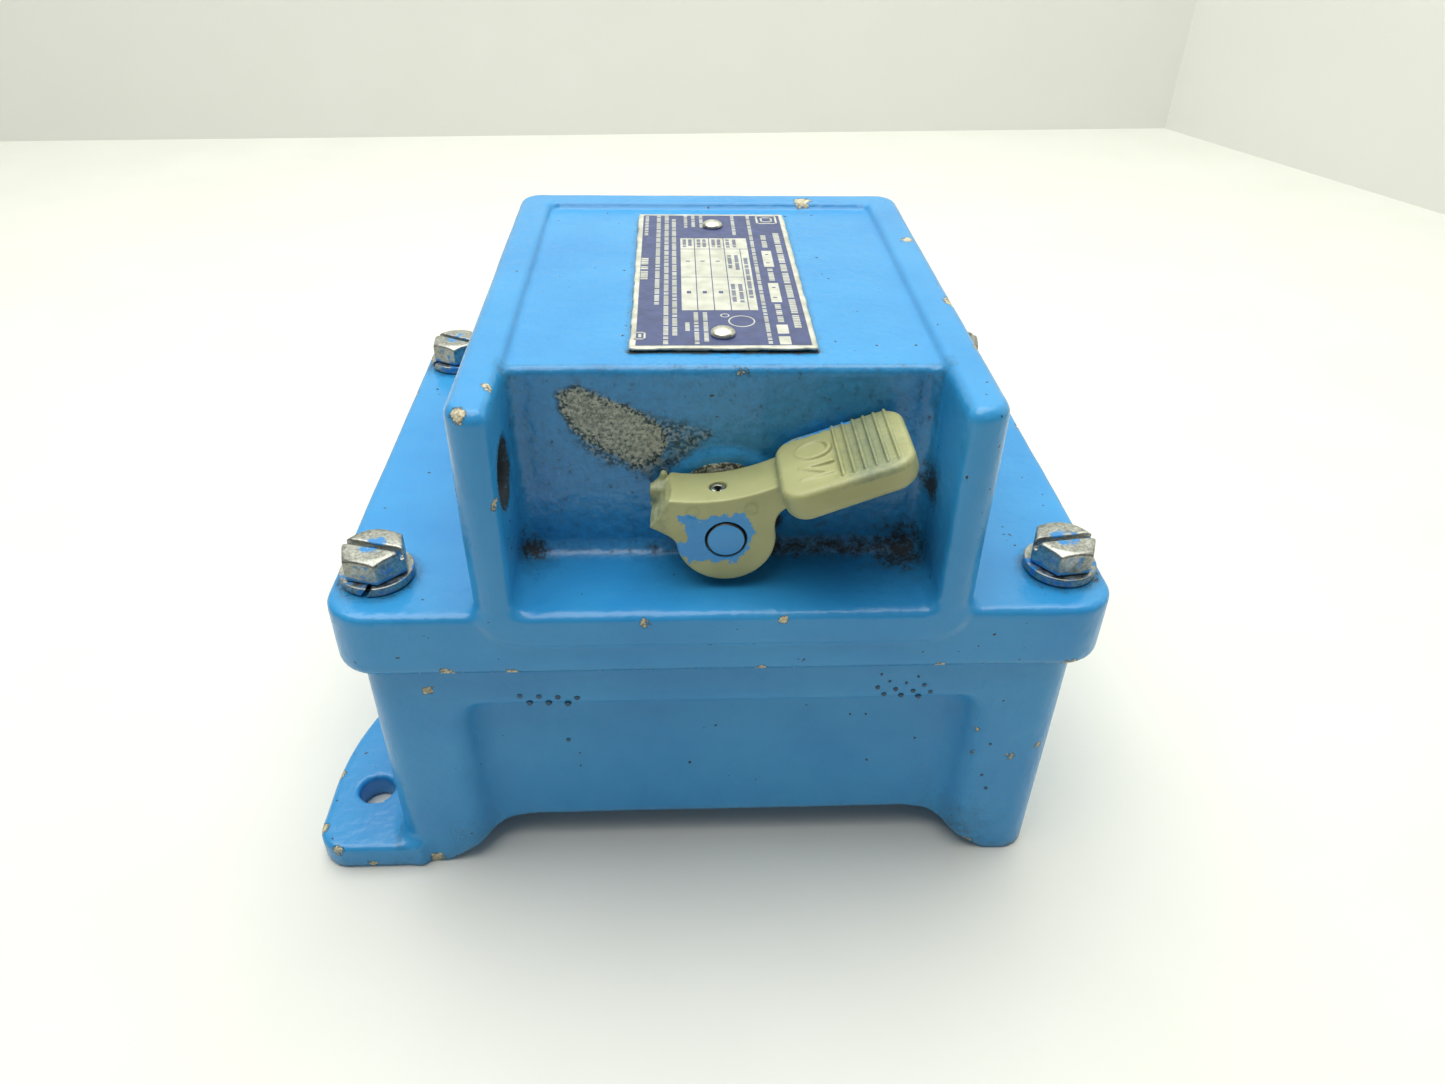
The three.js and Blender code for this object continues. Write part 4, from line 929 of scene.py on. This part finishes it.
def base_wear(base):
    """Grime and painted shade at the feet, under the cover, in the sunken panel's lower corners and where the
    left lug meets the end wall, and chips on corners, feet and the lug.
    """
    p = vertices_mm(base)
    x, z = p[:, 0], p[:, 2]
    # Grime and painted shade: darker near the floor, just under the cover, in the front panel's lower corners and
    # where the left lug meets the end wall
    set_attribute(base, "grime_and_shade", strongest(
        0.42 * fade(z, 6), 0.5 * fade(BASE_TOP - z, 1.6),
        0.55 * near(p, (PANEL_HALF_X + 4, -BASE_HALF_Y, 9), 16),
        0.5 * near(p, (-PANEL_HALF_X - 4, -BASE_HALF_Y, 6), 13),
        0.5 * fade(np.abs(x + BASE_HALF_X), 3) * fade(np.abs(z - LUG_THICKNESS), 3)))
    for name in ("rub", "bare"):
        set_attribute(base, name, np.zeros(len(p)))
    set_attribute(base, "chip", strongest(*[near(p, chip[:3], chip[3]) for chip in BASE_CHIPS]))


# ---- Materials --------------------

def srgb(code):
    """Linear colour of an sRGB hex code."""
    parts = [int(code[i:i + 2], 16) / 255 for i in (1, 3, 5)]
    return tuple(v / 12.92 if v <= 0.04045 else ((v + 0.055) / 1.055) ** 2.4 for v in parts) + (1,)


def add(tree, kind, *inputs, named=None, take=None, **settings):
    """Adds one node. Settings are its properties. Inputs fill its live sockets in order, and named fills
    others by name, each with a number, a colour code or a link. Gives the output to take, or the first."""
    node = tree.nodes.new("ShaderNode" + kind)
    for name, value in settings.items():
        setattr(node, name, value)
    pairs = list(zip([socket for socket in node.inputs if socket.enabled], inputs))
    pairs += [(node.inputs[name], value) for name, value in (named or {}).items()]
    for socket, value in pairs:
        if isinstance(value, bpy.types.NodeSocket):
            tree.links.new(value, socket)
        elif value is not None:
            socket.default_value = srgb(value) if isinstance(value, str) else value
    return node.outputs[take] if take else next((socket for socket in node.outputs if socket.enabled), None)


def make_material(name, surface, *values):
    """A material named for its finish. A surface function gives its shader's inputs by name."""
    material = bpy.data.materials.new(name)
    material.use_nodes = True
    material.node_tree.nodes.clear()
    node = functools.partial(add, material.node_tree)
    node("OutputMaterial", node("BsdfPrincipled", named=surface(node, *values)))
    return material


def enamel_on_casting(node):
    """Alkyd enamel sprayed on sand-cast aluminium: glossy, with orange peel over the mould's grain, worn to
    grey metal where the old lever rubbed, chipped to pale primer at edges, and darkened by grime and
    painted shade in corners and joints."""
    place = node("TexCoord", take="Object")
    grime_and_shade, rub, bared, chipped = (node("Attribute", attribute_name=name, take="Fac")
                                  for name in ("grime_and_shade", "rub", "bare", "chip"))
    speck, fleck, cloud, blotch, pore, grit, tear, peel, pebble, mould = (
        node("TexNoise", place, 1 / (size * MM), detail, rough)
        for size, detail, rough in ((0.7, 3, 0.5), (2.6, 3, 0.6), (26, 2, 0.5), (7, 2, 0.5), (1.6, 1, 0.5),
                                    (0.8, 3, 0.7), (1.7, 4, 0.72), (1.7, 2, 0.5), (2.9, 2, 0.5), (6, 2, 0.5)))

    # How much of each layer shows: a base and a share of a noise, spread over a span
    # The corner attribute read above holds painted shade as well as grime; the dark film and crust layers laid
    # from it are painted shade in corners, joints and on the pocket wall
    dust_and_shade = node("Math", speck, 0.55, grime_and_shade, operation="MULTIPLY_ADD")
    scuffed = node("Math", speck, -0.35, rub, operation="MULTIPLY_ADD")
    dust_film_and_shade, crust_and_deep_shade, pit, worn, scoured, bare = (
        node("MapRange", node("Math", part, share, base, operation="MULTIPLY_ADD"), *span)
        for base, part, share, *span in (
            (dust_and_shade, fleck, 0.75, 0.8, 1.5, 0, 0.75), (dust_and_shade, fleck, 0.75, 1.14, 1.42, 0, 0.95),
            (pore, cloud, 0.22, 0.895, 0.91), (scuffed, fleck, 0.5, 0.36, 0.62),
            (speck, rub, 0.36, 0.62, 0.76), (bared, fleck, 0.4, 0.78, 0.9)))
    flake = node("Math", chipped, node("MapRange", tear, 0.3, 0.7, 0.2, 1.5), operation="MULTIPLY")
    rim, chip = node("MapRange", flake, 0.28, 0.34, 0, 0.8), node("MapRange", flake, 0.38, 0.42)

    # Two-toned colours, then the layers over the blue, from the lowest up
    colour, scraped, stone, primer = (
        node("Mix", node("MapRange", part, low, high), dark, light, data_type="RGBA")
        for part, low, high, dark, light in (
            (cloud, 0.3, 0.7, "#2A8AC8", "#3595CF"), (grit, 0.38, 0.62, "#6F786F", "#B7BAA9"),
            (grit, 0.44, 0.58, "#4A5048", "#D2D3BE"), (speck, 0.35, 0.6, "#8A856C", "#D3CCAF")))
    metal = node("Mix", scoured, "#2A4248", scraped, data_type="RGBA")
    # The two darkest layers here, a dark blue film and a near-black crust, are grime and painted shade
    for share, over in ((node("MapRange", blotch, 0.55, 0.8, 0, 0.25), "#2581BC"), (dust_film_and_shade, "#205A78"),
                        (crust_and_deep_shade, "#20282A"), (pit, "#1C2F38"), (worn, metal), (bare, stone), (rim, "#31474D"),
                        (chip, primer)):
        colour = node("Mix", share, colour, over, data_type="RGBA")

    dull, normal = crust_and_deep_shade, None
    for share in (worn, bare, chip):
        dull = node("Math", dull, share, operation="MAXIMUM")
    worn_relief = node("Math", node("Math", grit, bare, operation="MULTIPLY"), chip, operation="SUBTRACT")
    for height, depth_mm in ((peel, 0.06), (pebble, 0.19), (mould, 0.24), (worn_relief, 0.18)):
        normal = node("Bump", 1, depth_mm * MM, None, height, normal)
    return {"Base Color": colour, "Roughness": node("MapRange", dull, 0, 1, 0.26, 0.75), "IOR": 1.5,
            "Normal": normal}


def aged_nylon(node):
    """Moulded nylon gone ivory with age: satin, slightly translucent, with dirt in its grooves and blue
    overspray where the enclosure was repainted round it."""
    place = node("TexCoord", take="Object")
    dirt, overspray = (node("Attribute", attribute_name=name, take="Fac") for name in ("dirt", "overspray"))
    cloud, speck, smear, tear, skin = (
        node("TexNoise", place, 1 / (size * MM), detail, rough)
        for size, detail, rough in ((11, 2, 0.5), (0.9, 3, 0.6), (4, 2, 0.5), (1.3, 3, 0.5), (1.2, 3, 0.5)))
    grey = node("Math", speck, 0.9, dirt, operation="MULTIPLY_ADD")
    grey = node("Math", smear, 0.5, grey, operation="MULTIPLY_ADD")
    ragged = node("Math", overspray, node("MapRange", tear, 0.3, 0.7, -0.7, 0.7), operation="ADD")
    paint = node("Mix", speck, "#2F86C4", "#3F9ADC", data_type="RGBA")
    colour = node("Mix", node("MapRange", cloud, 0.35, 0.7), "#9A9D6B", "#A7AA79", data_type="RGBA")
    for share, over in ((node("MapRange", grey, 0.95, 1.7, 0, 0.8), "#5F7266"),
                        (node("MapRange", ragged, -0.05, 0.15), paint)):
        colour = node("Mix", share, colour, over, data_type="RGBA")
    return {"Base Color": colour, "Roughness": node("MapRange", speck, 0.3, 0.7, 0.36, 0.5), "IOR": 1.53,
            "Subsurface Weight": 0.22, "Subsurface Radius": (1.0, 0.9, 0.5), "Subsurface Scale": 1.2 * MM,
            "Normal": node("Bump", 1, 0.03 * MM, None, skin)}


def metal_finish(node, light, dark, rough, grain_mm, paint=None):
    """A bare or plated metal, dulled in patches: one colour between two by fine grain, gloss that varies
    with it, and where a colour of paint is given, traces of it kept by the paint attribute."""
    place = node("TexCoord", take="Object")
    grain = node("TexNoise", place, 1 / (grain_mm * MM), 3, 0.6)
    patchy = node("Math", node("TexNoise", place, 1 / (5 * MM), 2), 0.6, grain, operation="MULTIPLY_ADD")
    colour, metallic = node("Mix", node("MapRange", patchy, 0.55, 1.05), dark, light, data_type="RGBA"), 1
    if paint:
        kept = node("Math", node("Attribute", attribute_name="paint", take="Fac"),
                    node("TexNoise", place, 1 / (2.2 * MM), 3), operation="ADD")
        kept = node("MapRange", kept, 0.86, 0.98)
        colour = node("Mix", kept, colour, paint, data_type="RGBA")
        metallic = node("MapRange", kept, 0, 1, 1, 0)
    return {"Base Color": colour, "Metallic": metallic,
            "Roughness": node("MapRange", grain, 0.3, 0.7, rough - 0.1, rough + 0.12),
            "Normal": node("Bump", 1, 0.02 * MM, None, grain)}


def moulded(node, light, dark, rough):
    """Moulded thermoset or enamel-like plastic: nearly even colour, slight flow marks and a satin skin."""
    place = node("TexCoord", take="Object")
    drawn_out = node("Mapping", place, None, None, (1, 1, 0.4))
    flow, gloss, skin = (node("TexNoise", at, 1 / (size * MM), 2)
                         for at, size in ((drawn_out, 9), (place, 1.1), (place, 0.8)))
    return {"Base Color": node("Mix", node("MapRange", flow, 0.3, 0.7), dark, light, data_type="RGBA"),
            "Roughness": node("MapRange", gloss, 0.3, 0.7, rough - 0.06, rough + 0.08),
            "Normal": node("Bump", 1, 0.015 * MM, None, skin)}


def etched(node, light, dark, rough, metallic):
    """Etched plate surface: print or bare metal, faintly mottled by handling."""
    place = node("TexCoord", take="Object")
    mottle, gloss, skin = (node("TexNoise", place, 1 / (size * MM), detail)
                           for size, detail in ((3, 3), (1.5, 2), (1, 2)))
    return {"Base Color": node("Mix", node("MapRange", mottle, 0.35, 0.7), dark, light, data_type="RGBA"),
            "Metallic": metallic, "Roughness": node("MapRange", gloss, 0.3, 0.7, rough - 0.08, rough + 0.1),
            "Normal": node("Bump", 1, 0.012 * MM, None, skin)}


def matt_paper(node, tone):
    """Matt paper: almost flat, with a faint tooth."""
    tooth = node("TexNoise", node("TexCoord", take="Object"), 1 / (60 * MM), 2)
    return {"Base Color": node("Mix", tooth, tone, "#E2E4DD", data_type="RGBA"), "Roughness": 0.7}


# Finish of each slot: the material's name, its surface function and what that takes
FINISHES = {
    "blue_enamel": ("blue_enamel_on_cast_aluminium", enamel_on_casting),
    "nylon": ("aged_ivory_nylon", aged_nylon),
    "zinc_steel": ("dull_zinc_plated_steel", metal_finish, "#C9CBC4", "#7C807A", 0.42, 0.5),
    "painted_zinc": ("zinc_plated_steel_with_paint_traces", metal_finish, "#C6C8C0", "#74776F", 0.42, 0.7,
                     "#2E86C6"),
    "bare_aluminium": ("oxidised_aluminium", metal_finish, "#E6E6DA", "#A9AA9C", 0.34, 0.6),
    "dark_steel": ("oiled_steel", metal_finish, "#7C7A76", "#43413E", 0.38, 0.4),
    "painted_steel": ("oiled_steel_with_painted_end", metal_finish, "#6E6C68", "#2B2927", 0.38, 0.4,
                      "#3F95D4"),
    "copper": ("bare_copper", metal_finish, "#D08A58", "#8E5430", 0.36, 0.5),
    "brass": ("bare_brass", metal_finish, "#D1B164", "#8E7334", 0.36, 0.5),
    "green_steel": ("green_dyed_zinc_screw", metal_finish, "#4E9A5C", "#2B6237", 0.4, 0.5),
    "phenolic": ("black_phenolic", moulded, "#2B2927", "#1B1A19", 0.42),
    "red_moulding": ("red_phenolic", moulded, "#A3362B", "#7F261F", 0.34),
    # Dark blue discs in the punch marks, painted shade standing for the shade inside the pits
    "punch_mark_shade": ("dark_enamel_pooled_in_punch_marks", moulded, "#235B80", "#173F5B", 0.4),
    "plate_metal": ("etched_aluminium_border", etched, "#D8DACC", "#B4B6A7", 0.4, 0.25),
    "plate_ink": ("dark_blue_plate_ink", etched, "#434F7C", "#38436B", 0.45, 0.0),
    "plate_print": ("etched_print", etched, "#CCCFC2", "#B2B5A7", 0.45, 0.1),
}


def coat(piece, material):
    """Gives a piece one material."""
    piece.data.materials.clear()
    piece.data.materials.append(material)


# ---- Camera, floor and light --------------------

def build_camera():
    """Camera a span in front of the switch and looking down on it, with a 25.5 mm lens on a full frame."""
    azimuth, elevation, roll = (math.radians(angle) for angle in CAMERA_ANGLES)
    ahead = np.array([math.sin(azimuth) * math.cos(elevation), math.cos(azimuth) * math.cos(elevation),
                      -math.sin(elevation)])
    right = np.cross(ahead, [0, 0, 1])
    right /= np.linalg.norm(right)
    up = np.cross(right, ahead)
    right, up = (math.cos(roll) * right + math.sin(roll) * up, math.cos(roll) * up - math.sin(roll) * right)
    data = bpy.data.cameras.new("camera")
    data.sensor_width, data.lens = SENSOR, LENS
    data.clip_start = 0.005
    camera = bpy.data.objects.new("camera", data)
    place = Matrix(np.column_stack([right, up, -ahead]).tolist()).to_4x4()
    place.translation = np.array(CAMERA_PLACE) * MM
    camera.matrix_world = place
    bpy.context.scene.collection.objects.link(camera)
    bpy.context.scene.camera = camera


def build_stage():
    """Pale floor and two walls behind it."""
    left, right, near_right = (-1600, 560), (422, 697), (800, -160)
    height = 1200
    sheets = {
        "floor": [(-2500, -2500, 0), (2500, -2500, 0), (2500, 2500, 0), (-2500, 2500, 0)],
        "wall_back": [(*left, 0), (*right, 0), (*right, height), (*left, height)],
        "wall_side": [(*right, 0), (*near_right, 0), (*near_right, height), (*right, height)]}
    paper = {"floor": make_material("floor_paper", matt_paper, FLOOR_TONE),
             "wall": make_material("wall_paper", matt_paper, WALL_TONE)}
    for name, corners in sheets.items():
        mesh = bpy.data.meshes.new(name)
        mesh.from_pydata(np.array(corners) * MM, [], [list(range(4))])
        sheet = bpy.data.objects.new(name, mesh)
        bpy.context.scene.collection.objects.link(sheet)
        coat(sheet, paper[name.split("_")[0]])


def build_light(name, place, target, width, depth, power, colour):
    """A soft rectangular lamp aimed at a target, in millimetres."""
    data = bpy.data.lights.new(name, "AREA")
    data.shape = "RECTANGLE"
    data.size, data.size_y = width * MM, depth * MM
    data.energy = power
    data.color = srgb(colour)[:3]
    lamp = bpy.data.objects.new(name, data)
    aim = np.array(target, float) - np.array(place, float)
    lamp.location = np.array(place) * MM
    lamp.rotation_euler = Vector(aim).to_track_quat("-Z", "Y").to_euler()
    bpy.context.scene.collection.objects.link(lamp)


def build_world():
    """Even pale light from all round."""
    world = bpy.data.worlds.new("studio")
    bpy.context.scene.world = world
    world.use_nodes = True
    tree = world.node_tree
    tree.nodes.clear()
    height = add(tree, "SeparateXYZ", add(tree, "TexCoord", take="Generated"), take="Z")
    sky = add(tree, "Mix", add(tree, "MapRange", height, 0, 0.9), "#83857D", "#FFFFFF", data_type="RGBA")
    add(tree, "OutputWorld", add(tree, "Background", sky, WORLD_STRENGTH))


# ---- Build --------------------

bpy.context.scene.view_settings.view_transform = "Standard"
build_camera()
build_stage()
build_world()
build_light("overhead_softbox", (-90, 120, 1050), (0, 20, 80), 1350, 1150, 18.4, "#FFFDF9")

finish = {slot: make_material(*row) for slot, row in FINISHES.items()}
cover = build_casting("cover_casting", cover_field, COVER_LOW, COVER_HIGH, COVER_STEP, "cover")
cover_wear(cover)
coat(cover, finish["blue_enamel"])
base = build_casting("base_casting", base_field, BASE_LOW, BASE_HIGH, BASE_STEP, "base_housing")
base_wear(base)
coat(base, finish["blue_enamel"])
# Punch marks: dark discs of painted shade
coat(build_spots(), finish["punch_mark_shade"])
coat(build_lever(), finish["nylon"])
for corner, turn in zip(CORNERS, BOLT_TURNS):
    coat(build_bolt(corner, math.radians(turn)), finish["painted_zinc"])
    coat(split_washer(corner, math.radians(turn * 5 + 200)), finish["painted_zinc"])
for index, (low, high) in enumerate(RIVETS, 1):
    coat(build_rivet(index, low, high), finish["bare_aluminium"])
coat(build_shaft(), finish["painted_steel"])
coat(build_roll_pin(), finish["zinc_steel"])
for side in ("front", "rear"):
    coat(build_spring(side), finish["zinc_steel"])
for piece, slot in build_nameplate():
    coat(piece, finish[slot])
for row in frame["record"]["subparts"]:
    node = frame["nodes"][row["node"]]
    if not node.hide_render:
        coat(node, finish[row["material_slot"]])
